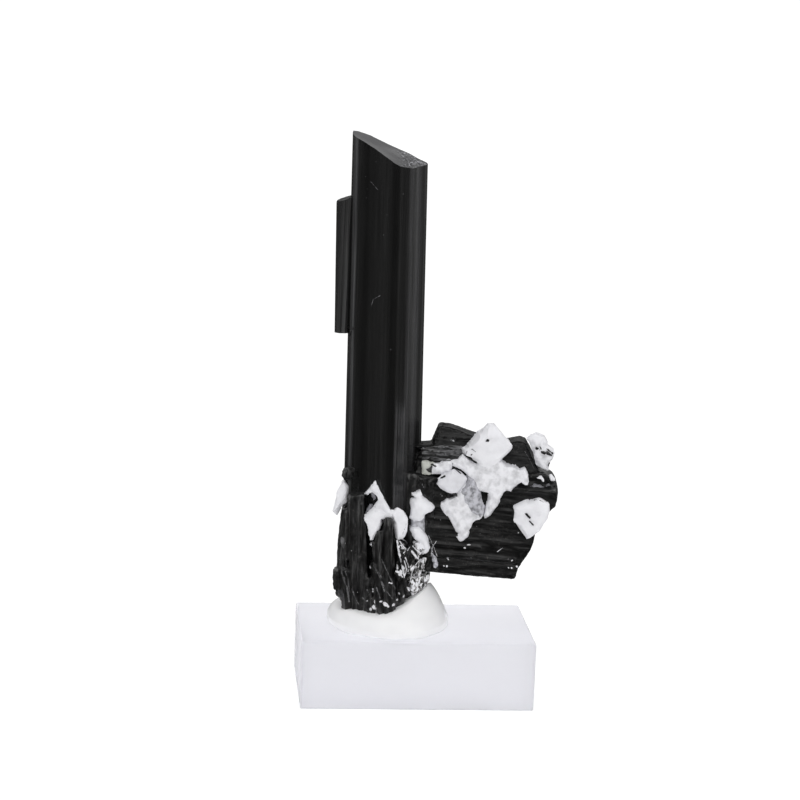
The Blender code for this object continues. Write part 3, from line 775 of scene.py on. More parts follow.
def capped(mesh, finish, upward, lowest=0.0):
    """Gives a second finish to the faces whose normal rises by more than upward, from 0 on an upright face
    to 1 on a level one, and whose middle is higher than the lowest height."""
    mesh.materials.append(finish)
    for face in mesh.polygons:
        face.material_index = int(face.normal.z > upward and face.center.z > lowest * MM)


def top_height(x, y):
    """Height of the slanting end face, which dips to the right and towards the front."""
    downhill = math.cos(TOP_BEARING) * (x - PEAK_X) - math.sin(TOP_BEARING) * y
    return PEAK_HEIGHT - math.tan(TOP_DIP) * downhill


def on_prism(flat, height):
    """Points of the section carried down the prism, which widens and leans right towards its foot."""
    drop = (PEAK_HEIGHT - height)[:, None]
    spread = PRISM_CENTRE + (flat - PRISM_CENTRE) * (1 + PRISM_TAPER * drop)
    spread[:, 0] += PRISM_LEAN * drop[:, 0]
    return np.column_stack([spread, height])


def striated(points, axis_points, depth, seed):
    """Cuts grooves and raises ribs along the crystal, which start and stop on their way. The faces as a
    whole are moved out a little, so that they cover the solid."""
    cover = 0.09
    outward = points - axis_points
    outward[:, 2] = 0
    outward /= np.maximum(np.linalg.norm(outward, axis=1, keepdims=True), 1e-9)
    rise = -0.6 * depth * (0.5 + noise(points, (0.8, 0.8, 90.0), seed, crisp=True))
    rise += 0.55 * depth * noise(points, (0.34, 0.34, 60.0), seed + 1, crisp=True)
    rise += 0.25 * depth * noise(points, (0.16, 0.16, 25.0), seed + 2, crisp=True)
    return points + outward * (rise + cover)[:, None]


class SPECIMEN_OT_main_crystal(bpy.types.Operator):
    """Build the striated main crystal with its slanting, partly chipped end face"""

    bl_idname = "specimen.main_crystal"
    bl_label = "Main crystal"

    def execute(self, context):
        settings = context.scene.specimen_tourmaline
        flat = evenly(PRISM_OUTLINE, 0.06)
        tops = top_height(*flat.T)
        rings = []
        for share in np.linspace(0.0, 1.0, 64):
            ring = on_prism(flat, PRISM_FOOT + (tops - PRISM_FOOT) * share)
            axis = on_prism(np.tile(PRISM_CENTRE, (len(flat), 1)), ring[:, 2])
            rings.append(striated(ring, axis, settings.striation / MM, seed=3))
        rim = rings[-1][:, :2]
        # The end face, in rings from its rim to its middle.
        for share in (0.99, 0.975, 0.955, *np.linspace(0.93, 0.02, 40)):
            inner = PRISM_CENTRE + (rim - PRISM_CENTRE) * share
            heights = top_height(*inner.T)
            spots = np.column_stack([inner, heights])
            # The end face is chipped at its right corner, and finely rough elsewhere.
            chip = np.clip((inner[:, 0] + 5.0) / 1.0, 0, 1) * np.clip((-inner[:, 1] + 1.6) / 1.4, 0, 1)
            heights -= (0.02 + 0.28 * chip) * np.abs(noise(spots, 0.6, 8, crisp=True))
            heights -= 0.08 * chip + (0.015 + 0.05 * chip) * noise(spots, 0.22, 9, crisp=True)
            rings.append(np.column_stack([inner, heights]))
        mesh = mesh_of(*loft(rings))
        black = tuple(settings.black)
        finish = striated_tourmaline("schorl grown face", black, PRISM_REFLECTION_BANDS, -PRISM_LEAN, PEAK_HEIGHT)
        new_piece("main_crystal", mesh, finish, ["tourmaline_crystals"], sharp=50)
        capped(mesh, end_face_tourmaline(), 0.35)
        return {"FINISHED"}


class SPECIMEN_OT_side_crystal(bpy.types.Operator):
    """Build the thin striated crystal on the main crystal's left edge"""

    bl_idname = "specimen.side_crystal"
    bl_label = "Side crystal"

    def execute(self, context):
        settings = context.scene.specimen_tourmaline
        flat = evenly(SIDE_OUTLINE, 0.05)
        (low, low_left, low_right), (high, high_left, high_right) = SIDE_ENDS
        rings = []
        for share in np.linspace(0.0, 1.0, 40):
            left = low_left + (high_left - low_left) * share
            right = low_right + (high_right - low_right) * share
            height = low + (high - low) * share + (0.15 + 0.75 * share) * (flat[:, 0] - 0.5)
            ring = np.column_stack([left + flat[:, 0] * (right - left), flat[:, 1], height])
            axis = np.column_stack([np.full(len(flat), (left + right) / 2), np.zeros(len(flat)), height])
            rings.append(striated(ring, axis, 0.8 * settings.striation / MM, seed=13))
        for end, at_top in ((rings[0], False), (rings[-1], True)):
            middle = end.mean(0)
            for share in (0.94, 0.8, 0.6, 0.4, 0.2):
                ring = middle + (end - middle) * share
                ring[:, 2] += 0.12 * noise(ring, 0.5, 15, crisp=True)
                rings.insert(len(rings) if at_top else 0, ring)
        mesh = mesh_of(*loft(rings))
        finish = striated_tourmaline("schorl side crystal", tuple(settings.black), SIDE_REFLECTION_BANDS, SIDE_LEAN, low)
        new_piece("side_crystal", mesh, finish, sharp=50)
        broken = broken_tourmaline("schorl broken end", UPRIGHT, 0, "0C0C0C", relief=0.05, gloss=0.05)
        capped(mesh, broken, 0.35)
        return {"FINISHED"}


def clear_of_prism(mesh):
    """Draws the surface in where it would lie in the main crystal's faces, which then cover it. It does so
    in full close to them, and fades out at the reach."""
    reach, fade, depth = 0.28, 0.12, 0.55
    points = points_of(mesh)
    drop = PEAK_HEIGHT - points[:, 2]
    flat = points[:, :2].copy()
    flat[:, 0] -= PRISM_LEAN * drop
    flat = PRISM_CENTRE + (flat - PRISM_CENTRE) / (1 + PRISM_TAPER * drop)[:, None]
    outside = -from_edge(flat, np.array(PRISM_OUTLINE))
    sink = np.clip((reach - outside) / fade, 0, 1) * depth
    axis = PRISM_CENTRE + np.column_stack([PRISM_LEAN * drop, 0 * drop])
    inward = axis - points[:, :2]
    inward /= np.maximum(np.linalg.norm(inward, axis=1, keepdims=True), 1e-9)
    points[:, :2] += inward * sink[:, None]
    moved(mesh, points)


# Splinters in front of the foot: (x, z) of the lower and the upper end, half width, and how far the
# splinter stands in front of the foot's face.
FOOT_SPLINTERS = (
    ((-8.4, 11.8), (-9.3, 28.3), 0.28, 0.35), ((-7.7, 11.8), (-8.7, 28.0), 0.3, 0.42),
    ((-7.1, 12.0), (-8.1, 27.4), 0.22, 0.3), ((-9.4, 11.9), (-10.3, 18.6), 0.2, 0.45),
    ((-8.9, 12.0), (-9.9, 19.2), 0.16, 0.55), ((-9.7, 12.0), (-10.7, 17.2), 0.18, 0.35),
    ((-8.4, 12.2), (-10.2, 17.6), 0.14, 0.75), ((-7.9, 12.0), (-9.4, 17.8), 0.12, 0.7),
    ((-5.0, 12.6), (-6.6, 22.6), 0.24, 0.5), ((-4.2, 12.6), (-6.0, 21.4), 0.2, 0.6),
    ((-3.6, 12.8), (-5.6, 18.9), 0.2, 0.65), ((-5.9, 12.4), (-7.1, 17.4), 0.2, 0.5),
    ((-3.2, 13.2), (-4.7, 18.0), 0.18, 0.6), ((-6.3, 12.4), (-7.4, 15.8), 0.16, 0.5),
    ((-4.5, 18.2), (-4.9, 25.6), 0.2, 0.4), ((-4.0, 17.6), (-4.3, 25.8), 0.22, 0.45),
    ((-5.3, 17.0), (-5.6, 23.9), 0.24, 0.4), ((-5.9, 17.0), (-6.1, 23.6), 0.18, 0.35),
    ((-2.4, 14.0), (-3.2, 20.0), 0.16, 0.45), ((-1.6, 14.8), (-2.3, 19.8), 0.15, 0.45),
    ((-10.2, 21.6), (-10.1, 26.0), 0.3, 0.2), ((-10.7, 18.9), (-10.6, 21.3), 0.34, 0.2),
    ((-9.8, 20.0), (-9.6, 25.8), 0.16, 0.3), ((-3.2, 13.4), (-3.9, 22.0), 0.26, 0.15),
    ((-7.2, 17.0), (-7.6, 24.6), 0.24, 0.1),
)
# Loose splinters all round the foot: how many are tried, the middle that they surround, and the lowest
# start with the span above it.
FOOT_TRIES = 240
FOOT_MIDDLE = (-4.8, -1.2)
FOOT_LOW, FOOT_SPAN = 12.2, 13.5


class SPECIMEN_OT_foot(bpy.types.Operator):
    """Build the bundle of splintered columns round the lower end of the main crystal"""

    bl_idname = "specimen.foot"
    bl_label = "Foot"

    def execute(self, context):
        settings = context.scene.specimen_tourmaline
        proud = settings.splinter / MM
        chance = np.random.default_rng(31)
        below_columns, left_of_cross = ((0, 0, 33.2), (0, 0, 1)), ((1.7, 0, 0), (1, 0, 0))
        body = node_shape("tourmaline_crystals", (below_columns, left_of_cross))
        shapes = [body]
        for (x0, z0), (x1, z1), half, out in FOOT_SPLINTERS:
            ends = [upright(x, between(FOOT_FRONT, x) + 0.6 - out, z) for x, z in ((x0, z0), (x1, z1))]
            shapes.append(rod(*ends, half, half, np.array((1.0, 0.0, 0.0)), chance))
        tree = BVHTree.FromPolygons([Vector(p) for p in body[0]], body[1])
        for _ in range(FOOT_TRIES):
            turn = chance.uniform(0, 2 * math.pi)
            outward = np.array((math.cos(turn), math.sin(turn), 0.0))
            start = np.array((*FOOT_MIDDLE, FOOT_LOW + FOOT_SPAN * chance.random() ** 1.2))
            lean = np.array((chance.normal(-0.06, 0.04), chance.normal(0, 0.04), 1.0))
            end = start + lean * chance.uniform(1.6, 6.0)
            # The crust covers the right side, so it has no splinters.
            if start[0] + 4 * outward[0] < -1.5:
                half = chance.uniform(0.12, 0.3)
                shapes += splinter(tree, (start, end), outward, half, 0.6 * proud, chance)
        mesh = fused(shapes, voxel=0.125)
        cleaved(mesh, size=0.5, strength=0.75, seed=5, stretch=(1.0, 1.0, 4.0))
        roughened(mesh, (((0.35, 0.35, 2.5), 0.06, 6, True), ((0.3, 0.3, 0.3), 0.03, 7, True)))
        clear_of_prism(mesh)
        finish = broken_tourmaline("schorl splinters upright", UPRIGHT, 2, "3A3A3A", relief=0.12, gloss=0.5)
        new_piece("splintered_foot", mesh, finish, ["tourmaline_crystals"], sharp=38)
        return {"FINISHED"}


# Where the cross crystal's upper ledge is worn to grey fibres: outline in (S, T).
WORN_LEDGE = (
    (4.9, 17.1), (4.7, 16.4), (4.2, 15.7), (3.0, 15.2), (-0.8, 14.8), (-0.9, 16.5), (2.2, 17.2),
    (4.2, 17.3),
)
# Depth V of the cross crystal's front.
CROSS_FACE = -0.6
# Level ribs on the front of the cross crystal: (start S, end S, height T, half height, how proud).
CROSS_RIBS = (
    (-0.5, 13.3, 0.25, 0.32, 0.21), (0.2, 13.2, 1.0, 0.28, 0.12), (0.0, 12.8, 1.55, 0.16, 0.09),
    (0.3, 13.4, 2.3, 0.2, 0.18), (0.6, 12.0, 2.8, 0.16, 0.21), (0.4, 13.9, 3.3, 0.14, 0.09),
    (0.8, 8.8, 3.75, 0.16, 0.18), (0.3, 14.0, 4.3, 0.16, 0.07), (0.4, 13.4, 4.95, 0.18, 0.13),
    (0.8, 14.3, 5.5, 0.12, 0.06), (0.2, 5.2, 6.0, 0.18, 0.15), (7.0, 14.6, 6.2, 0.14, 0.06),
    (0.3, 4.8, 6.6, 0.12, 0.09), (0.2, 4.4, 7.25, 0.16, 0.13), (8.6, 14.9, 7.1, 0.3, 0.12),
    (0.4, 4.0, 7.9, 0.12, 0.09), (0.2, 3.6, 8.7, 0.2, 0.13), (9.4, 15.3, 8.4, 0.2, 0.05),
    (0.3, 3.0, 9.6, 0.14, 0.09), (10.6, 17.0, 12.55, 0.2, 0.18), (10.9, 17.4, 12.1, 0.12, 0.13),
    (11.6, 17.3, 11.6, 0.14, 0.07),
)
# Loose splinters all round the cross crystal: how many are tried, the middle of its section in (V, T) that
# they surround, and the S that they end at.
CROSS_TRIES = 300
CROSS_MIDDLE = (3.6, 7.5)
CROSS_END = 16.0


class SPECIMEN_OT_cross_crystal(bpy.types.Operator):
    """Build the stubby cross crystal with its level ribs and its splintered right end"""

    bl_idname = "specimen.cross_crystal"
    bl_label = "Cross crystal"

    def execute(self, context):
        settings = context.scene.specimen_tourmaline
        proud = settings.splinter / MM
        chance = np.random.default_rng(47)
        # The solid right of the prism: up to the ledge, and higher a little farther from the prism.
        lower = (((0, 0, 34.8), (0, 0, 1)), ((-0.9, 0, 0), (-1, 0, 0)))
        upper = (((0, 0, 38.5), (0, 0, 1)), ((0.05, 0, 34.5), (-1, 0, 0)))
        body = joined([node_shape("tourmaline_crystals", cuts) for cuts in (lower, upper)])
        shapes = [body]
        for start, end, height, half, out in CROSS_RIBS:
            v = CROSS_FACE - 0.45 * out + half
            ends = [in_cross(s, v, height) for s in (start, end)]
            shapes.append(rod(*ends, half, half, CROSS_T, chance))
        tree = BVHTree.FromPolygons([Vector(p) for p in body[0]], body[1])
        for _ in range(CROSS_TRIES):
            turn = chance.uniform(0, 2 * math.pi)
            outward = CROSS_V * math.cos(turn) + CROSS_T * math.sin(turn)
            along = chance.uniform(0.5, 15.0)
            lean = CROSS_S + CROSS_T * chance.normal(0, 0.03)
            start = in_cross(along, *CROSS_MIDDLE) + chance.uniform(-4.0, 4.0) * np.cross(outward, CROSS_S)
            ends = (start, start + lean * min(chance.uniform(1.5, 7.0), CROSS_END - along))
            shapes += splinter(tree, ends, outward, chance.uniform(0.1, 0.26), 0.4 * proud, chance)
        # This voxel is as fine as keeps the piece under 200,000 triangles.
        mesh = fused(shapes, voxel=0.134)
        cleaved(mesh, size=0.45, strength=0.6, seed=15, stretch=(3.0, 1.0, 1.0), axes=CROSS_AXES)
        roughened(mesh, (((1.6, 0.3, 0.3), 0.04, 16, True), ((0.3, 0.3, 0.3), 0.03, 17, True)), CROSS_AXES)
        clear_of_prism(mesh)
        level = broken_tourmaline("schorl splinters level", ALONG_CROSS, 0, "232323", relief=0.05, gloss=0.28)
        new_piece("cross_crystal", mesh, level, ["tourmaline_crystals"], sharp=38)
        # Painted shade: the lump's upward faces get a darker, duller copy of the finish, so they mirror less
        # of the bright sky.
        top = broken_tourmaline("schorl lump top painted darker", ALONG_CROSS, 0, "161616", relief=0.05, gloss=0.05)
        capped(mesh, top, 0.4, lowest=34.5)
        ledge = mesh_of(*pillow(WORN_LEDGE, 0.62, 0.8, 2.0, in_cross, 0.4, 0.6))
        roughened(ledge, (((1.6, 0.3, 0.3), 0.1, 21, True), ((0.3, 0.3, 0.3), 0.06, 22, True)), CROSS_AXES)
        worn = broken_tourmaline("schorl worn ledge", ALONG_CROSS, 0, "6C6C6E", relief=0.14, gloss=0.3)
        new_piece("worn_ledge", ledge, worn, ["tourmaline_crystals"], sharp=40)
        return {"FINISHED"}


# Albite on the cross crystal: outlines in (S, T), at the depth of their widest section.
RHOMB = (
    (6.5, 19.6), (7.0, 20.0), (7.5, 20.6), (7.9, 20.7), (8.6, 20.8), (9.0, 20.4), (9.7, 19.7),
    (10.3, 19.0), (10.8, 18.7), (11.1, 18.3), (11.3, 17.9), (11.2, 17.5), (10.9, 17.1), (10.4, 16.7),
    (9.9, 16.4), (9.6, 16.1), (9.4, 14.4), (7.5, 14.2), (7.0, 15.3), (6.7, 15.7), (6.1, 16.0),
    (5.8, 16.3), (5.2, 16.4), (5.0, 16.9), (4.9, 17.3), (5.2, 17.5), (5.2, 17.8), (5.5, 18.0),
    (5.8, 18.4), (6.1, 18.9),
)
MASS = (
    (13.8, 13.7), (13.7, 13.1), (13.4, 13.0), (12.9, 13.5), (11.8, 12.5), (11.6, 12.0), (11.4, 11.9),
    (10.9, 12.2), (10.1, 10.8), (10.3, 10.5), (9.0, 8.3), (8.3, 7.9), (8.1, 8.5), (8.5, 10.9),
    (8.4, 11.3), (8.6, 11.5), (7.0, 11.8), (6.5, 12.1), (6.4, 13.2), (5.8, 13.4), (4.9, 14.2),
    (3.4, 14.9), (3.3, 14.1), (2.5, 13.6), (0.8, 13.4), (0.6, 15.0), (1.5, 14.9), (1.8, 15.2),
    (4.1, 15.7), (4.6, 16.7), (5.2, 16.0), (6.3, 15.5), (6.8, 15.5), (7.3, 16.6), (8.9, 16.9),
    (9.5, 16.2), (10.7, 15.4), (12.1, 15.3), (12.4, 15.0), (13.2, 15.5),
)
TONGUE = (
    (5.4, 13.2), (6.1, 12.0), (7.0, 11.6), (7.3, 11.2), (8.2, 9.7), (8.2, 9.2), (8.0, 7.9), (7.1, 7.6),
    (6.4, 6.1), (6.4, 5.2), (5.5, 4.5), (5.2, 4.5), (4.7, 5.1), (5.0, 5.2), (5.0, 5.7), (4.7, 5.8),
    (3.6, 7.5), (2.4, 8.6), (2.1, 9.8), (2.7, 9.8), (3.2, 10.4), (4.2, 10.6), (4.3, 11.0), (4.0, 11.4),
    (4.3, 11.7), (4.6, 12.9),
)
GREY_ZONE = (
    (5.7, 13.6), (6.5, 13.3), (7.6, 11.6), (7.8, 10.6), (8.3, 9.6), (7.9, 8.0), (6.1, 8.7), (5.0, 10.4),
    (4.7, 11.3), (4.9, 12.3), (5.5, 12.9),
)
# The hollow between the egg crystal and the mass is set back and grey: painted shade.
SHADED_HOLLOW = ((5.2, 13.7), (6.0, 13.7), (6.4, 13.4), (6.5, 12.0), (5.8, 11.8), (4.8, 12.1))
EGG = (
    (1.5, 12.4), (1.6, 13.1), (2.5, 13.8), (3.6, 14.6), (4.7, 14.1), (5.6, 13.3), (5.3, 12.4),
    (4.9, 11.9), (4.1, 11.4), (2.9, 11.1), (1.9, 11.5),
)
PLATE = ((-0.8, 15.0), (0.0, 15.1), (0.9, 14.9), (1.1, 13.3), (-0.6, 13.2))
RIGHT_CRYSTAL = (
    (15.4, 11.7), (16.3, 11.3), (16.7, 10.9), (17.1, 9.9), (16.0, 7.3), (14.8, 5.8), (14.3, 5.7),
    (13.1, 7.0), (12.3, 8.3), (12.3, 9.4), (11.9, 10.3),
)
TOP_RIGHT = (
    (12.9, 19.1), (13.5, 19.5), (14.1, 19.7), (14.8, 19.6), (15.3, 19.5), (15.8, 19.0), (15.8, 18.4),
    (16.4, 18.0), (16.9, 17.6), (16.9, 16.7), (16.3, 15.9), (16.4, 14.9), (15.3, 15.0), (14.6, 15.6),
    (14.3, 16.3), (14.0, 17.3), (13.5, 18.3),
)
LEFT_BEAD = (
    (14.8, 14.0), (15.0, 14.3), (15.4, 14.4), (15.9, 13.9), (16.0, 13.5), (15.7, 13.5), (15.4, 13.9),
)
RIGHT_BEAD = ((16.4, 14.4), (16.7, 14.7), (17.3, 14.1), (17.4, 13.7), (16.7, 13.7))
SHELF_DUST = (
    (14.0, 12.8), (14.4, 12.9), (14.5, 13.3), (16.1, 12.9), (16.3, 13.3), (16.6, 13.4), (17.0, 13.1),
    (15.5, 12.7), (14.4, 12.6),
)

# Albite beside and below the main crystal: outlines in (X, Z).
LEFT_BLADE = (
    (-10.3, 30.0), (-9.7, 29.2), (-9.7, 27.7), (-9.9, 27.1), (-10.7, 26.3), (-11.2, 24.9),
    (-12.0, 25.8), (-10.7, 30.0),
)
SPEAR_TIP = (
    (-6.4, 30.7), (-5.9, 29.7), (-4.1, 26.6), (-5.6, 25.6), (-7.4, 25.2), (-7.6, 25.7), (-6.8, 26.5),
    (-5.9, 28.1), (-6.0, 28.5), (-6.7, 29.1), (-7.3, 28.5), (-8.1, 28.4), (-7.2, 29.4),
)
SPEAR_LEFT = (
    (-4.0, 26.7), (-4.1, 25.6), (-4.4, 25.7), (-5.1, 25.3), (-5.4, 25.5), (-5.5, 24.1), (-6.3, 23.6),
    (-6.4, 22.5), (-6.9, 22.6), (-7.3, 24.8), (-7.9, 25.7), (-7.8, 26.0), (-6.2, 27.2), (-5.1, 27.1),
)
SPEAR_RIGHT = (
    (-3.4, 27.4), (-2.6, 26.8), (-2.0, 25.7), (-2.0, 24.1), (-2.2, 23.3), (-2.6, 22.9), (-2.9, 23.0),
    (-3.4, 22.5), (-3.9, 25.2), (-4.2, 25.7), (-4.6, 25.8), (-4.6, 26.9), (-3.8, 27.0),
)
GAP_GRAIN_TOP = ((-6.9, 28.8), (-6.5, 29.1), (-6.0, 28.5), (-6.0, 28.1), (-6.4, 28.0), (-6.8, 28.2))
GAP_GRAIN_LOW = ((-6.6, 27.2), (-6.6, 26.7), (-7.3, 25.8), (-7.6, 26.0), (-7.3, 27.0), (-7.1, 27.3))
FOOT_LUMP = (
    (-0.4, 29.7), (-1.1, 29.2), (-1.5, 29.2), (-1.5, 28.8), (-1.2, 28.8), (-0.9, 28.5), (-1.5, 28.4),
    (-1.7, 28.1), (-1.5, 25.6), (-1.2, 25.1), (-0.8, 25.4), (-0.3, 25.3), (0.2, 25.7), (0.4, 26.2),
    (1.4, 26.7), (1.7, 27.2), (1.7, 27.5), (0.0, 28.8),
)
FOOT_BRIDGE = ((-1.5, 26.0), (0.4, 26.4), (0.5, 23.4), (-1.3, 23.9))
LOW_LUMP = (
    (-1.2, 24.7), (-0.7, 24.5), (-0.3, 24.7), (0.9, 23.2), (1.3, 21.6), (0.7, 20.8), (0.2, 20.8),
    (0.0, 21.2), (0.4, 21.6), (-0.5, 22.6), (-0.9, 22.7), (-1.2, 23.3), (-1.6, 24.4),
)
LOW_BLOB = ((-6.6, 22.1), (-6.2, 22.1), (-6.0, 21.5), (-6.1, 21.1), (-6.9, 21.8))
THIN_BLADE = ((1.5, 21.4), (2.3, 20.1), (2.5, 19.4), (2.5, 19.0), (2.2, 18.6), (1.9, 18.8))


# Albite pieces: name, finish, CAD node that the piece stands for, then the width of its facets as a share
# of the cleavage size, a seed, the relief of its etching and that of its grain, and then its lumps. A lump
# is an outline with the depths of its front, its rim and its back, the function that places it, the width
# of its shoulder, and how flat that is.
CLUSTER = "albite_centre_cluster"
ALBITE_PIECES = (
    ("rhomb", "clean", CLUSTER, (1.8, 101, 0.02, 0), (RHOMB, -1.5, -0.6, 3.2, in_cross, 0.45, 0.8)),
    ("centre_mass", "granular", CLUSTER, (1, 103, 0.03, 0.03),
     (MASS, -1.35, -0.7, 2.6, in_cross, 0.5, 0.6)),
    ("tongue", "granular", CLUSTER, (1, 105, 0.04, 0.05),
     (TONGUE, -1.5, -0.7, 0.4, in_cross, 0.9, 0.4)),
    # The hollow takes the grey translucent finish as painted shade.
    ("grey_zone", "clear", CLUSTER, (0.7, 107, 0.05, 0.07),
     (GREY_ZONE, -1.75, -0.9, 0.4, in_cross, 0.8, 0.5),
     (SHADED_HOLLOW, -0.9, -0.5, 0.4, in_cross, 0.5, 0.7)),
    ("stained_plate", "stained", CLUSTER, (1, 121, 0.05, 0.02),
     (PLATE, -0.8, -0.3, 0.8, in_cross, 0.3, 0.5)),
    ("egg_crystal", "cloudy", CLUSTER, (1.7, 133, 0.03, 0.02),
     (EGG, -2.1, -1.4, 0.4, in_cross, 0.6, 0.85)),
    ("right_crystal", "clean", "albite_right_crystal", (2, 141, 0.02, 0),
     (RIGHT_CRYSTAL, -2.4, -1.2, 0.2, in_cross, 0.7, 0.7)),
    ("top_right_mass", "granular", "albite_top_right_crystal", (1, 151, 0.04, 0.05),
     (TOP_RIGHT, 0.7, 1.5, 4.4, in_cross, 0.6, 0.5)),
    ("left_bead", "clean", "albite_bead_left", (1, 161, 0.02, 0),
     (LEFT_BEAD, -0.35, 0.2, 0.8, in_cross, 0.3, 0.4)),
    ("right_bead", "clean", "albite_bead_right", (1, 165, 0.02, 0),
     (RIGHT_BEAD, 0.0, 0.6, 1.2, in_cross, 0.3, 0.4)),
    ("shelf_dust", "smoky", None, (1, 167, 0.05, 0.08),
     (SHELF_DUST, -0.25, 0.0, 0.6, in_cross, 0.2, 0.4)),
    ("left_blade", "clean", "albite_left_blade", (1.8, 171, 0.02, 0),
     (LEFT_BLADE, -3.0, -1.8, -0.2, upright, 0.7, 0.8)),
    ("spearhead", "clean", "albite_spearhead", (1.4, 181, 0.04, 0.02),
     (SPEAR_TIP, -1.0, -0.5, 0.8, on_front(PRISM_FRONT), 0.35, 0.8),
     (SPEAR_LEFT, -6.4, -5.6, -3.6, upright, 0.45, 0.7),
     (SPEAR_RIGHT, -6.6, -5.9, -3.6, upright, 0.45, 0.7),
     (LOW_BLOB, -5.0, -4.6, -3.4, upright, 0.3, 0.6)),
    ("gap_grains", "smoky", None, (1, 185, 0.04, 0.04),
     (GAP_GRAIN_TOP, -4.6, -4.2, -3.2, upright, 0.3, 0.6),
     (GAP_GRAIN_LOW, -4.6, -4.2, -3.2, upright, 0.3, 0.6)),
    ("foot_lump", "clean", "albite_foot_crust", (1, 191, 0.04, 0.06),
     (FOOT_LUMP, -6.1, -5.2, -2.6, upright, 0.7, 0.5),
     (LOW_LUMP, -6.1, -5.2, -2.6, upright, 0.5, 0.5)),
    ("foot_bridge", "clear", "albite_foot_crust", (1, 195, 0.05, 0.08),
     (FOOT_BRIDGE, -5.6, -5.0, -2.6, upright, 0.5, 0.5)),
    ("thin_blade", "clear", "albite_thin_blade", (1, 201, 0.03, 0.02),
     (THIN_BLADE, -5.3, -4.7, -4.0, upright, 0.35, 0.5)),
)


class SPECIMEN_OT_albite(bpy.types.Operator):
    """Build the albite crystals and masses, cleaved into facets and lightly etched"""

    bl_idname = "specimen.albite"
    bl_label = "Albite"

    def execute(self, context):
        settings = context.scene.specimen_albite
        facet = settings.cleavage / MM
        white = tuple(settings.white)
        finishes = {
            "clean": cleaved_albite("cleaved albite", white, mottle=0.1, relief=0.03),
            "cloudy": cleaved_albite("cloudy albite", linear("E6E6EB"), mottle=0.16, relief=0.04),
            "granular": cleaved_albite("granular albite", white, mottle=0.34, relief=0.08, cloud=0.9),
            "stained": cleaved_albite("stained albite", tuple(settings.stain), mottle=0.3, relief=0.06),
            "clear": cleaved_albite(
                "translucent albite", linear("C6C6CD"), mottle=0.66, relief=0.12, cloud=0.5
            ),
            "smoky": cleaved_albite("smoky albite", linear("84848A"), mottle=0.5, relief=0.06),
        }
        for name, finish, node, (share, seed, relief, grain), *lumps in ALBITE_PIECES:
            mesh = mesh_of(*joined([pillow(*lump) for lump in lumps]))
            cleaved(mesh, share * facet, 0.6, seed)
            softened(mesh, rounds=1, strength=0.25)
            reliefs = [(0.9, 1.2 * relief, seed + 1, False), (0.3, 0.5 * relief, seed + 2, True)]
            if grain:
                reliefs += [(0.55, grain, seed + 3, False), (0.32, 0.6 * grain, seed + 4, False)]
            roughened(mesh, reliefs)
            new_piece(name, mesh, finishes[finish], [node] if node else (), sharp=30)
        return {"FINISHED"}


class SPECIMEN_OT_crust(bpy.types.Operator):
    """Build the granular crust on the right of the foot"""

    bl_idname = "specimen.crust"
    bl_label = "Crust"

    def execute(self, context):
        below_lump = ((0, 0, 22.4), (0, 0, 1))
        mesh = fused([node_shape("albite_foot_crust", [below_lump])], voxel=0.11)
        softened(mesh, rounds=2)
        lumps, grains = ((0.8, 0.8, 1.2), 0.32, 51, False), ((0.3, 0.3, 0.5), 0.14, 52, True)
        grit = ((0.16, 0.16, 0.2), 0.05, 53, True)
        roughened(mesh, (lumps, grains, grit))
        finish = speckled_crust(tuple(context.scene.specimen_albite.white))
        new_piece("foot_crust", mesh, finish, ["albite_foot_crust"], sharp=45)
        return {"FINISHED"}


# Veins of albite on the foot and its crust: width, then (X, Z) along the vein.
VEINS = (
    (0.38, (-3.3, 22.9), (-3.2, 21.9), (-2.9, 20.8), (-2.5, 19.4), (-2.2, 18.0)),
    (0.21, (-3.0, 22.8), (-2.1, 21.7), (-2.5, 21.3)),
    (0.21, (-2.2, 20.7), (-1.6, 19.1), (-1.7, 18.1)),
    (0.17, (-2.6, 22.7), (-1.5, 21.8), (-1.9, 21.5)),
    (0.51, (-1.3, 21.4), (-0.6, 20.5), (0.2, 19.8)),
    (0.12, (-1.4, 16.3), (-1.2, 18.0), (-0.7, 19.3), (-0.2, 19.9)),
    (0.26, (-3.2, 19.5), (-3.2, 19.0), (-2.4, 17.8)),
    (0.17, (-2.3, 20.2), (-1.9, 19.0), (-2.2, 17.8)),
    (0.26, (-2.5, 21.9), (-2.9, 22.4), (-3.4, 21.7)),
    (0.26, (-1.1, 21.9), (-0.3, 21.2), (0.5, 20.5)),
    (0.21, (-1.5, 16.2), (-0.8, 15.7), (-0.9, 14.9)),
    (0.08, (1.1, 23.1), (1.8, 21.7), (2.4, 20.2)),
    (0.08, (2.2, 22.4), (1.6, 21.5), (1.5, 20.4)),
    (0.08, (0.4, 23.2), (1.4, 22.0)),
    (0.14, (10.4, 21.3), (11.1, 21.9)),
)
# Scratches and scars, paler than the crystal that they lie on.
SCRATCHES = (
    (0.07, (-8.4, 70.8), (-7.3, 69.6)),
    (0.1, (-7.7, 54.1), (-7.5, 55.1), (-6.6, 55.8)),
)
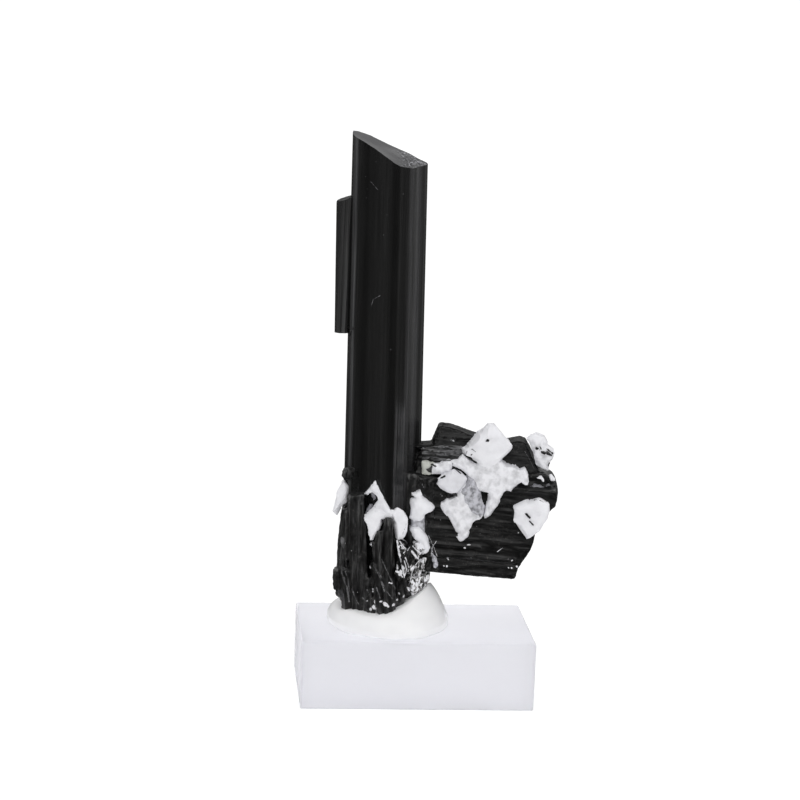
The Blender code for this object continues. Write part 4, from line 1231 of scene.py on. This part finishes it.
# Needles of tourmaline in the albite, and black strands laid along crevices, where they paint the shade.
NEEDLES_AND_CREVICE_SHADE = (
    (0.34, (5.7, 35.2), (5.6, 34.7), (5.8, 34.4), (6.3, 34.1), (7.0, 33.7)),
    (0.16, (6.3, 34.8), (6.2, 34.3)),
    (0.1, (6.0, 35.5), (6.4, 35.5), (6.8, 35.2)),
    (0.46, (8.2, 36.7), (8.5, 37.0)),
    (0.3, (10.0, 34.5), (10.5, 34.2)),
    # These two lie along the crevice round the top of the egg crystal: painted shade.
    (0.28, (3.9, 32.8), (4.5, 32.5), (5.0, 32.1)),
    (0.2, (3.8, 33.4), (3.9, 33.2)),
    (0.36, (0.9, 33.5), (1.1, 32.9)),
    (0.24, (1.1, 33.1), (1.7, 32.8)),
    (0.95, (0.6, 32.5), (1.1, 32.2)),
    (0.24, (2.3, 31.4), (2.8, 31.8)),
    (0.36, (13.6, 27.3), (14.3, 26.7)),
    (0.3, (14.2, 26.3), (14.8, 25.7)),
    (0.12, (14.8, 29.0), (15.3, 29.1), (15.7, 29.0), (16.1, 28.8)),
    (0.42, (15.1, 35.7), (15.4, 35.5), (15.8, 35.2), (16.3, 35.0)),
    (0.3, (15.6, 35.9), (15.8, 35.5)),
    (0.3, (16.5, 35.6), (16.9, 35.3), (17.5, 34.9)),
    (0.44, (16.5, 35.2), (16.9, 34.9), (17.4, 34.6)),
    (0.2, (17.0, 33.8), (16.9, 33.4), (17.0, 33.1)),
    (0.1, (-2.6, 23.7), (-2.5, 24.2), (-2.3, 24.7), (-2.2, 25.2)),
    (0.6, (-1.0, 22.2), (-0.8, 22.0)),
    (0.6, (2.9, 29.2), (3.4, 28.9), (4.0, 29.2), (4.5, 29.1)),
    (0.4, (3.3, 28.7), (3.9, 28.9)),
    (0.55, (-10.5, 51.0), (-10.2, 50.6), (-10.1, 50.2)),
    (0.4, (-9.9, 51.1), (-10.0, 50.7), (-10.3, 49.8)),
)
# Edges and splinters of tourmaline in pale grey: partly real wear, partly painted highlights where the edges
# catch the light.
WORN_AND_LIT_EDGES = (
    (0.4, (-10.5, 17.7), (-10.1, 16.6), (-9.6, 15.2), (-9.3, 13.6)),
    (0.18, (-10.1, 18.1), (-9.6, 16.8), (-9.3, 15.0)),
    (0.2, (-9.1, 15.8), (-8.5, 14.1), (-7.8, 13.1)),
    (0.2, (-7.7, 14.5), (-7.1, 14.0)),
    (0.3, (-5.7, 18.6), (-5.2, 17.2), (-4.9, 16.6)),
    (0.2, (-10.4, 14.9), (-10.2, 13.3), (-10.1, 12.5)),
    (0.22, (-6.5, 19.8), (-5.6, 17.9), (-4.8, 15.9)),
    (0.22, (-5.5, 20.5), (-4.4, 18.4), (-3.3, 16.1)),
    (0.18, (-4.5, 15.9), (-3.7, 14.8)),
    (0.18, (-7.1, 15.8), (-6.4, 14.5)),
    (0.18, (-5.9, 16.4), (-5.3, 14.8)),
    (0.8, (-10.4, 22.2), (-10.3, 20.9)),
    (0.12, (13.9, 34.7), (14.6, 33.6), (15.2, 32.4)),
    (0.5, (0.0, 34.4), (1.2, 34.6), (2.4, 34.6), (3.8, 34.7), (5.0, 35.0)),
    (0.4, (0.8, 33.8), (1.4, 34.1), (2.6, 34.2), (4.2, 34.3)),
    (0.34, (0.0, 33.5), (1.0, 33.6)),
    (0.3, (2.6, 33.6), (3.6, 33.7)),
    (0.3, (1.6, 35.1), (3.0, 35.2), (4.4, 35.5)),
)
# Grains of albite on the black crystals, and finer greyer ones: (X, Z, size).
GRAINS = (
    (-6.7, 18.7, 0.42), (-2.9, 18.5, 0.9), (-3.2, 18.8, 0.5), (-3.9, 17.0, 0.3), (-4.2, 17.1, 0.28),
    (-6.3, 15.8, 0.36), (-6.3, 15.5, 0.34), (-6.1, 13.4, 0.8), (-6.5, 13.1, 0.5), (-6.0, 14.2, 0.45),
    (-5.7, 12.9, 0.5), (-7.0, 14.2, 0.22), (-4.7, 14.1, 0.8), (-3.5, 14.0, 0.55), (-4.2, 13.8, 0.5),
    (-5.2, 14.4, 0.5), (-3.0, 14.4, 0.4), (-2.7, 15.3, 0.34), (-2.1, 14.9, 0.3), (-0.9, 15.3, 0.5),
    (-1.5, 16.1, 0.55), (6.5, 22.1, 0.45), (6.0, 21.7, 0.34), (3.8, 20.1, 0.4), (3.9, 19.9, 0.3),
    (3.7, 19.0, 0.34), (3.3, 19.0, 0.24), (4.4, 35.4, 0.24), (12.4, 33.3, 0.2), (13.1, 24.1, 0.22),
    (12.4, 20.3, 0.24), (12.4, 19.2, 0.3), (13.1, 19.4, 0.36), (12.0, 19.2, 0.2), (-10.1, 21.6, 0.12),
    (-9.3, 20.9, 0.13), (-8.3, 15.1, 0.12),
)
DUST = (
    (-8.8, 68.5, 0.1), (-7.4, 68.3, 0.13), (-6.9, 66.7, 0.13), (-6.2, 66.6, 0.12), (-4.5, 67.1, 0.12),
    (-7.4, 61.1, 0.1), (-8.0, 62.9, 0.1), (-6.5, 63.9, 0.1), (-6.3, 63.3, 0.1), (-7.3, 52.9, 0.12),
    (-5.1, 48.8, 0.12), (-4.8, 39.5, 0.1), (-1.1, 37.2, 0.3), (-0.9, 36.0, 0.26), (-7.8, 73.4, 0.1),
    (-6.2, 72.4, 0.1), (-9.0, 71.3, 0.08), (-6.3, 71.0, 0.1), (-8.7, 69.7, 0.1), (-4.2, 69.5, 0.1),
    (-4.7, 30.0, 0.14), (-3.7, 28.6, 0.14), (-10.3, 25.1, 0.14), (-10.0, 24.1, 0.14),
    (-10.6, 24.5, 0.12), (7.5, 20.7, 0.16), (6.9, 20.4, 0.16), (11.9, 20.5, 0.2), (7.5, 24.7, 0.16),
    (8.0, 23.7, 0.12), (1.8, 25.5, 0.3), (2.6, 25.4, 0.16), (0.1, 34.8, 0.35), (1.4, 29.6, 0.3),
    (2.7, 28.7, 0.5), (2.5, 28.9, 0.3), (1.8, 30.2, 0.3), (0.0, 30.1, 0.5), (0.2, 29.8, 0.45),
    (0.3, 34.7, 0.5),
)


class SPECIMEN_OT_grains(bpy.types.Operator):
    """Lay pale veins, grains and dust on the black crystals, and black needles and painted crevice shade on
    the albite
    """

    bl_idname = "specimen.grains"
    bl_label = "Grains and needles"

    def execute(self, context):
        settings = context.scene.specimen_albite
        shapes = []
        for obj in bpy.data.objects:
            if obj.type == "MESH" and obj.data.materials:
                shapes.append((points_of(obj.data), [tuple(face.vertices) for face in obj.data.polygons]))
        points, faces = joined(shapes)
        tree = BVHTree.FromPolygons([Vector(point) for point in points], faces)
        chance = np.random.default_rng(71)
        white = plain_mineral("loose albite grains", tuple(settings.white), 0.3, 0.5, ALBITE_IOR)
        grey = plain_mineral("albite dust on schorl", linear("77777A"), 0.4, 0.6, ALBITE_IOR)
        # Black needles, some laid along crevices as painted shade.
        black = plain_mineral("schorl needles and crevice shade", linear("121212"), 0.5, 0.35, SCHORL_IOR)
        # The pale grey on edges is partly wear and partly painted highlight.
        worn = plain_mineral("worn schorl with painted highlights", linear("747476"), 0.7, 0.6, SCHORL_IOR)
        for name, lines, spots, sunk, finish, slot in (
            ("albite_grains", VEINS, GRAINS, 0.15, white, "albite"),
            ("pale_dust", SCRATCHES, DUST, 0.5, grey, "albite"),
            ("black_needles", NEEDLES_AND_CREVICE_SHADE, (), 0.55, black, "tourmaline"),
            ("worn_edges", WORN_AND_LIT_EDGES, (), 0.5, worn, "tourmaline"),
        ):
            made = []
            for width, *route in lines:
                made += self.strand(tree, width, route, sunk, chance)
            for x, z, size in spots:
                made += self.grain(tree, x, z, size, sunk, chance)
            mesh = mesh_of(*joined(made))
            roughened(mesh, ((0.18, 0.03, 73, True),))
            new_piece(name, mesh, finish, sharp=40)
        return {"FINISHED"}

    def landing(self, tree, x, z, depth):
        """The point that a line from the front meets at (x, z), sunk to a depth, and the face there."""
        point, normal = tree.ray_cast(Vector((x, -20.0, z)), Vector((0, 1, 0)), 40.0)[:2]
        return np.array(point) - depth * np.array(normal), np.array(normal)

    def strand(self, tree, width, route, sunk, chance):
        """A thin crystal along a route on the surface, in a chain of rods of uneven width. A rod that would
        bridge a step of the surface is left out."""
        steps = []
        for (x0, z0), (x1, z1) in zip(route, route[1:]):
            count = max(1, round(math.hypot(x1 - x0, z1 - z0) / (1.6 * width)))
            steps += [(x0 + (x1 - x0) * i / count, z0 + (z1 - z0) * i / count) for i in range(count)]
        steps.append(route[-1])
        half = width / 2
        spots = [self.landing(tree, x, z, sunk * half)[0] for x, z in steps]
        rods = []
        for low, high in zip(spots, spots[1:]):
            size = half * chance.uniform(0.7, 1.2)
            if np.linalg.norm(high - low) < 6 * width:
                rods.append(rod(low, high, size, size, np.array((0.1, 1.0, 0.2)), chance, 5, 0.8))
        return rods

    def grain(self, tree, x, z, size, sunk, chance):
        """A small blunt crystal that lies on the surface at a random turn."""
        middle, normal = self.landing(tree, x, z, sunk * size / 2)
        along = np.cross(normal, chance.normal(size=3))
        along *= size * chance.uniform(0.35, 0.6) / np.linalg.norm(along)
        wide, deep, across = 0.42 * size, 0.3 * size, np.cross(normal, along)
        return [rod(middle - along, middle + along, wide, deep, across, chance, 6, 0.55)]


def smooth_ring(points, count):
    """A closed ring through the points, rounded by Catmull-Rom curves."""
    points = np.asarray(points, float)
    total = len(points)
    ring = []
    for where in np.linspace(0, total, count, endpoint=False):
        i, u = int(where), where % 1
        a, b, c, d = (points[(i + k) % total] for k in (-1, 0, 1, 2))
        ring.append(
            0.5 * (2 * b + (c - a) * u + (2 * a - 5 * b + 4 * c - d) * u**2 + (3 * b - a - 3 * c + d) * u**3)
        )
    return np.array(ring)


# Putty mound: its rim on the block, and the line where its top meets the foot.
MOUND_RIM = (
    (-12.0, 1.4), (-11.7, -2.2), (-9.9, -5.7), (-6.7, -7.9), (-3.2, -8.7), (0.4, -7.8), (3.2, -5.1),
    (4.7, -1.0), (4.2, 3.4), (1.2, 6.6), (-3.4, 7.7), (-8.0, 6.7), (-11.0, 4.4),
)
MOUND_TOP = (
    (-10.5, 1.2, 12.2), (-10.3, -2.6, 12.3), (-9.2, -5.1, 12.7), (-6.5, -6.7, 12.5), (-3.8, -7.2, 12.9),
    (-1.6, -6.6, 14.0), (0.2, -5.5, 15.3), (1.5, -3.6, 16.0), (2.0, 0.0, 15.2), (1.4, 3.2, 14.0),
    (-1.0, 4.6, 13.2), (-4.5, 4.9, 13.0), (-8.0, 4.4, 12.5),
)
# Points round each of the mound's rings.
RING_POINTS = 220


class SPECIMEN_OT_mound(bpy.types.Operator):
    """Build the smooth putty mound that holds the crystals on the block"""

    bl_idname = "specimen.mound"
    bl_label = "Putty mound"

    def execute(self, context):
        block_top = BLOCK_SIZE[2] + 0.02
        rim = smooth_ring([(x, y, block_top) for x, y in MOUND_RIM], RING_POINTS)
        top = smooth_ring(MOUND_TOP, RING_POINTS)
        middle = np.array((-3.8, -0.6, 0.0))
        roll = 0.045
        rings = []
        for lift in np.linspace(0, 1, 14):
            # The lower edge rolls under like a pressed bead, within one millimetre of height.
            share = 1 - roll + roll * math.sin(0.5 * math.pi * min(1.0, lift * 2))
            ring = middle + (rim - middle) * (share, share, 1.0)
            ring[:, 2] += lift**1.3
            rings.append(ring)
        shoulder = rings[-1]
        for lift in np.linspace(0.04, 1.0, 36):
            ring = shoulder + (top - shoulder) * lift
            swell = 0.42 * math.sin(math.pi * lift)
            outward = (shoulder - top) * (1.0, 1.0, 0.0)
            outward /= np.maximum(np.linalg.norm(outward, axis=1, keepdims=True), 1e-9)
            rings.append(ring + swell * (0.3 * outward + UP))
        for share in (0.8, 0.5, 0.2):
            rings.append(top.mean(0) + (top - top.mean(0)) * share)
        mesh = mesh_of(*loft(rings))
        roughened(mesh, ((4.0, 0.12, 61, False), (1.8, 0.05, 62, False)))
        finish = pressed_putty(tuple(context.scene.specimen_stand.putty))
        new_piece("putty_mound", mesh, finish, ["adhesive_mound"])
        return {"FINISHED"}


class SPECIMEN_OT_block(bpy.types.Operator):
    """Build the clear acrylic block with its polished edges"""

    bl_idname = "specimen.block"
    bl_label = "Acrylic block"

    def execute(self, context):
        settings = context.scene.specimen_stand
        shape = bmesh.new()
        bmesh.ops.create_cube(shape, size=1.0)
        bmesh.ops.scale(shape, vec=Vector(BLOCK_SIZE) * MM, verts=shape.verts)
        bmesh.ops.translate(shape, vec=(0, 0, BLOCK_SIZE[2] / 2 * MM), verts=shape.verts)
        edges = shape.edges[:]
        bmesh.ops.bevel(shape, geom=edges, offset=settings.edge, segments=5, profile=0.5, affect="EDGES")
        mesh = bpy.data.meshes.new("block")
        shape.to_mesh(mesh)
        shape.free()
        finish = cast_acrylic(tuple(settings.acrylic))
        new_piece("acrylic_base", mesh, finish, ["acrylic_block"], sharp=30)
        return {"FINISHED"}


# Camera: its place and lens in millimetres, and its yaw, pitch and roll in radians.
CAMERA_PLACE = (-33.0366, -326.4666, 106.6167)
CAMERA_TURN = (0.0915, 0.198, 0.0387)
CAMERA_LENS = 110.985


class SPECIMEN_OT_stage(bpy.types.Operator):
    """Set the table, the lights and the camera"""

    bl_idname = "specimen.stage"
    bl_label = "Stage"

    def execute(self, context):
        settings = context.scene.specimen_stage
        scene = context.scene
        self.floor(settings)
        self.surroundings(scene)
        self.key_light(settings)
        self.camera(scene)
        scene.view_settings.view_transform = "Standard"
        return {"FINISHED"}

    def floor(self, settings):
        """A matt white table lit from behind, a wall all round it, and a sheet of paper under the block."""
        white = lit_paper("matt white table", "757575", settings.glow)
        table = self.sheet("table", (3.0, 3.0), -0.00008, white)
        # The black crystal faces mirror the dim surroundings and not the table.
        table.visible_glossy = False
        radius, heights, sides = 2.4, (-0.1, 2.0), 48
        turns = np.linspace(0, 2 * math.pi, sides, endpoint=False)
        points = [(radius * math.cos(turn), radius * math.sin(turn), z) for z in heights for turn in turns]
        faces = [(i, (i + 1) % sides, sides + (i + 1) % sides, sides + i) for i in range(sides)]
        wall = self.staged("wall", points, faces, white)
        # The camera alone sees the wall, so it takes no part in the light.
        wall.visible_glossy = wall.visible_diffuse = False
        wall.visible_transmission = wall.visible_shadow = False
        paper = lit_paper("matt white paper", "BCBCBC", settings.under)
        self.sheet("sheet", (0.0156, 0.0093), -0.00005, paper)

    def sheet(self, name, half, height, finish):
        """A level sheet of the given half size, in metres."""
        corners = [(x * half[0], y * half[1], height) for x, y in ((-1, -1), (1, -1), (1, 1), (-1, 1))]
        return self.staged(name, corners, [(0, 1, 2, 3)], finish)

    def staged(self, name, points, faces, finish):
        """A piece of the stage, with its points in metres."""
        mesh = bpy.data.meshes.new(name)
        mesh.from_pydata(points, [], faces)
        mesh.materials.append(finish)
        obj = linked(name, mesh)
        return obj

    def surroundings(self, scene):
        """Bright above. Below, it is dim on the front left and brighter on the back right, which the black
        crystal faces mirror."""
        world = bpy.data.worlds.new("studio")
        scene.world = world
        world.use_nodes = True
        tree = world.node_tree
        place = add(tree, "ShaderNodeTexCoord").outputs["Generated"]
        axes = add(tree, "ShaderNodeSeparateXYZ", None, {"Vector": place}).outputs
        side = add(tree, "ShaderNodeMath", {"operation": "ADD"}, {0: axes["X"], 1: axes["Y"]}).outputs[0]
        links = {"Value": side, "From Min": -1.4, "From Max": 1.4}
        share = add(tree, "ShaderNodeMapRange", None, links).outputs[0]
        stops = ((0.0, 0.05), (0.84, 0.06), (0.93, 0.08), (1.0, 0.1))
        low = add(tree, "ShaderNodeValToRGB", None, {"Fac": share}, stops).outputs["Color"]
        stops = ((0.05, 0.0), (0.35, 1.0))
        rise = add(tree, "ShaderNodeValToRGB", None, {"Fac": axes["Z"]}, stops).outputs["Color"]
        sky = add(tree, "ShaderNodeMix", None, {0: rise, 2: low, 3: 0.95}).outputs[0]
        tree.links.new(sky, tree.nodes["Background"].inputs["Color"])

    def key_light(self, settings):
        """One large soft light above the front right, aimed at the middle of the crystals' foot."""
        light = bpy.data.lights.new("key", "AREA")
        light.shape = "RECTANGLE"
        light.size = 0.25
        light.size_y = 0.18
        light.energy = settings.key
        lamp = linked("key", light)
        lamp.location = (0.14, -0.2, 0.34)
        aim = Vector((0.0, 0.0, 0.03)) - lamp.location
        lamp.rotation_euler = aim.to_track_quat("-Z", "Y").to_euler()

    def camera(self, scene):
        """The camera, a little above the specimen and to its left."""
        yaw, pitch, roll = CAMERA_TURN
        ahead = Vector((math.sin(yaw) * math.cos(pitch), math.cos(yaw) * math.cos(pitch), -math.sin(pitch)))
        level = ahead.cross(Vector((0, 0, 1))).normalized()
        above = level.cross(ahead)
        right = math.cos(roll) * level + math.sin(roll) * above
        up = -math.sin(roll) * level + math.cos(roll) * above
        data = bpy.data.cameras.new("camera")
        data.sensor_width = 36.0
        data.lens = CAMERA_LENS
        data.clip_start = 0.01
        camera = linked("camera", data)
        place = Matrix((right, up, -ahead)).transposed().to_4x4()
        place.translation = Vector(CAMERA_PLACE) * MM
        camera.matrix_world = place
        scene.camera = camera


OPERATORS = (
    SPECIMEN_OT_main_crystal,
    SPECIMEN_OT_side_crystal,
    SPECIMEN_OT_foot,
    SPECIMEN_OT_cross_crystal,
    SPECIMEN_OT_albite,
    SPECIMEN_OT_crust,
    SPECIMEN_OT_grains,
    SPECIMEN_OT_mound,
    SPECIMEN_OT_block,
    SPECIMEN_OT_stage,
)


class SPECIMEN_PT_panel(bpy.types.Panel):
    """List the specimen's sizes, colours and builders"""

    bl_label = "Tourmaline specimen"
    bl_idname = "SPECIMEN_PT_panel"
    bl_space_type = "VIEW_3D"
    bl_region_type = "UI"
    bl_category = "Specimen"

    def draw(self, context):
        layout = self.layout
        for name in SETTINGS:
            settings = getattr(context.scene, name)
            box = layout.box()
            for field in settings.__annotations__:
                box.prop(settings, field)
        for operator in OPERATORS:
            layout.operator(operator.bl_idname)


SETTINGS = {
    "specimen_tourmaline": TourmalineSettings,
    "specimen_albite": AlbiteSettings,
    "specimen_stand": StandSettings,
    "specimen_stage": StageSettings,
}


def register():
    for group in SETTINGS.values():
        bpy.utils.register_class(group)
    for name, group in SETTINGS.items():
        setattr(bpy.types.Scene, name, PointerProperty(type=group))
    for made in (*OPERATORS, SPECIMEN_PT_panel):
        bpy.utils.register_class(made)


def unregister():
    for made in (SPECIMEN_PT_panel, *reversed(OPERATORS)):
        bpy.utils.unregister_class(made)
    for name, group in SETTINGS.items():
        delattr(bpy.types.Scene, name)
        bpy.utils.unregister_class(group)


def main():
    """Builds the specimen and its stage."""
    register()
    for obj in list(bpy.data.objects):
        if obj.name in ("Cube", "Light", "Camera"):
            bpy.data.objects.remove(obj)
    bpy.ops.specimen.main_crystal()
    bpy.ops.specimen.side_crystal()
    bpy.ops.specimen.foot()
    bpy.ops.specimen.cross_crystal()
    bpy.ops.specimen.albite()
    bpy.ops.specimen.crust()
    bpy.ops.specimen.grains()
    bpy.ops.specimen.mound()
    bpy.ops.specimen.block()
    bpy.ops.specimen.stage()


if __name__ == "__main__":
    main()
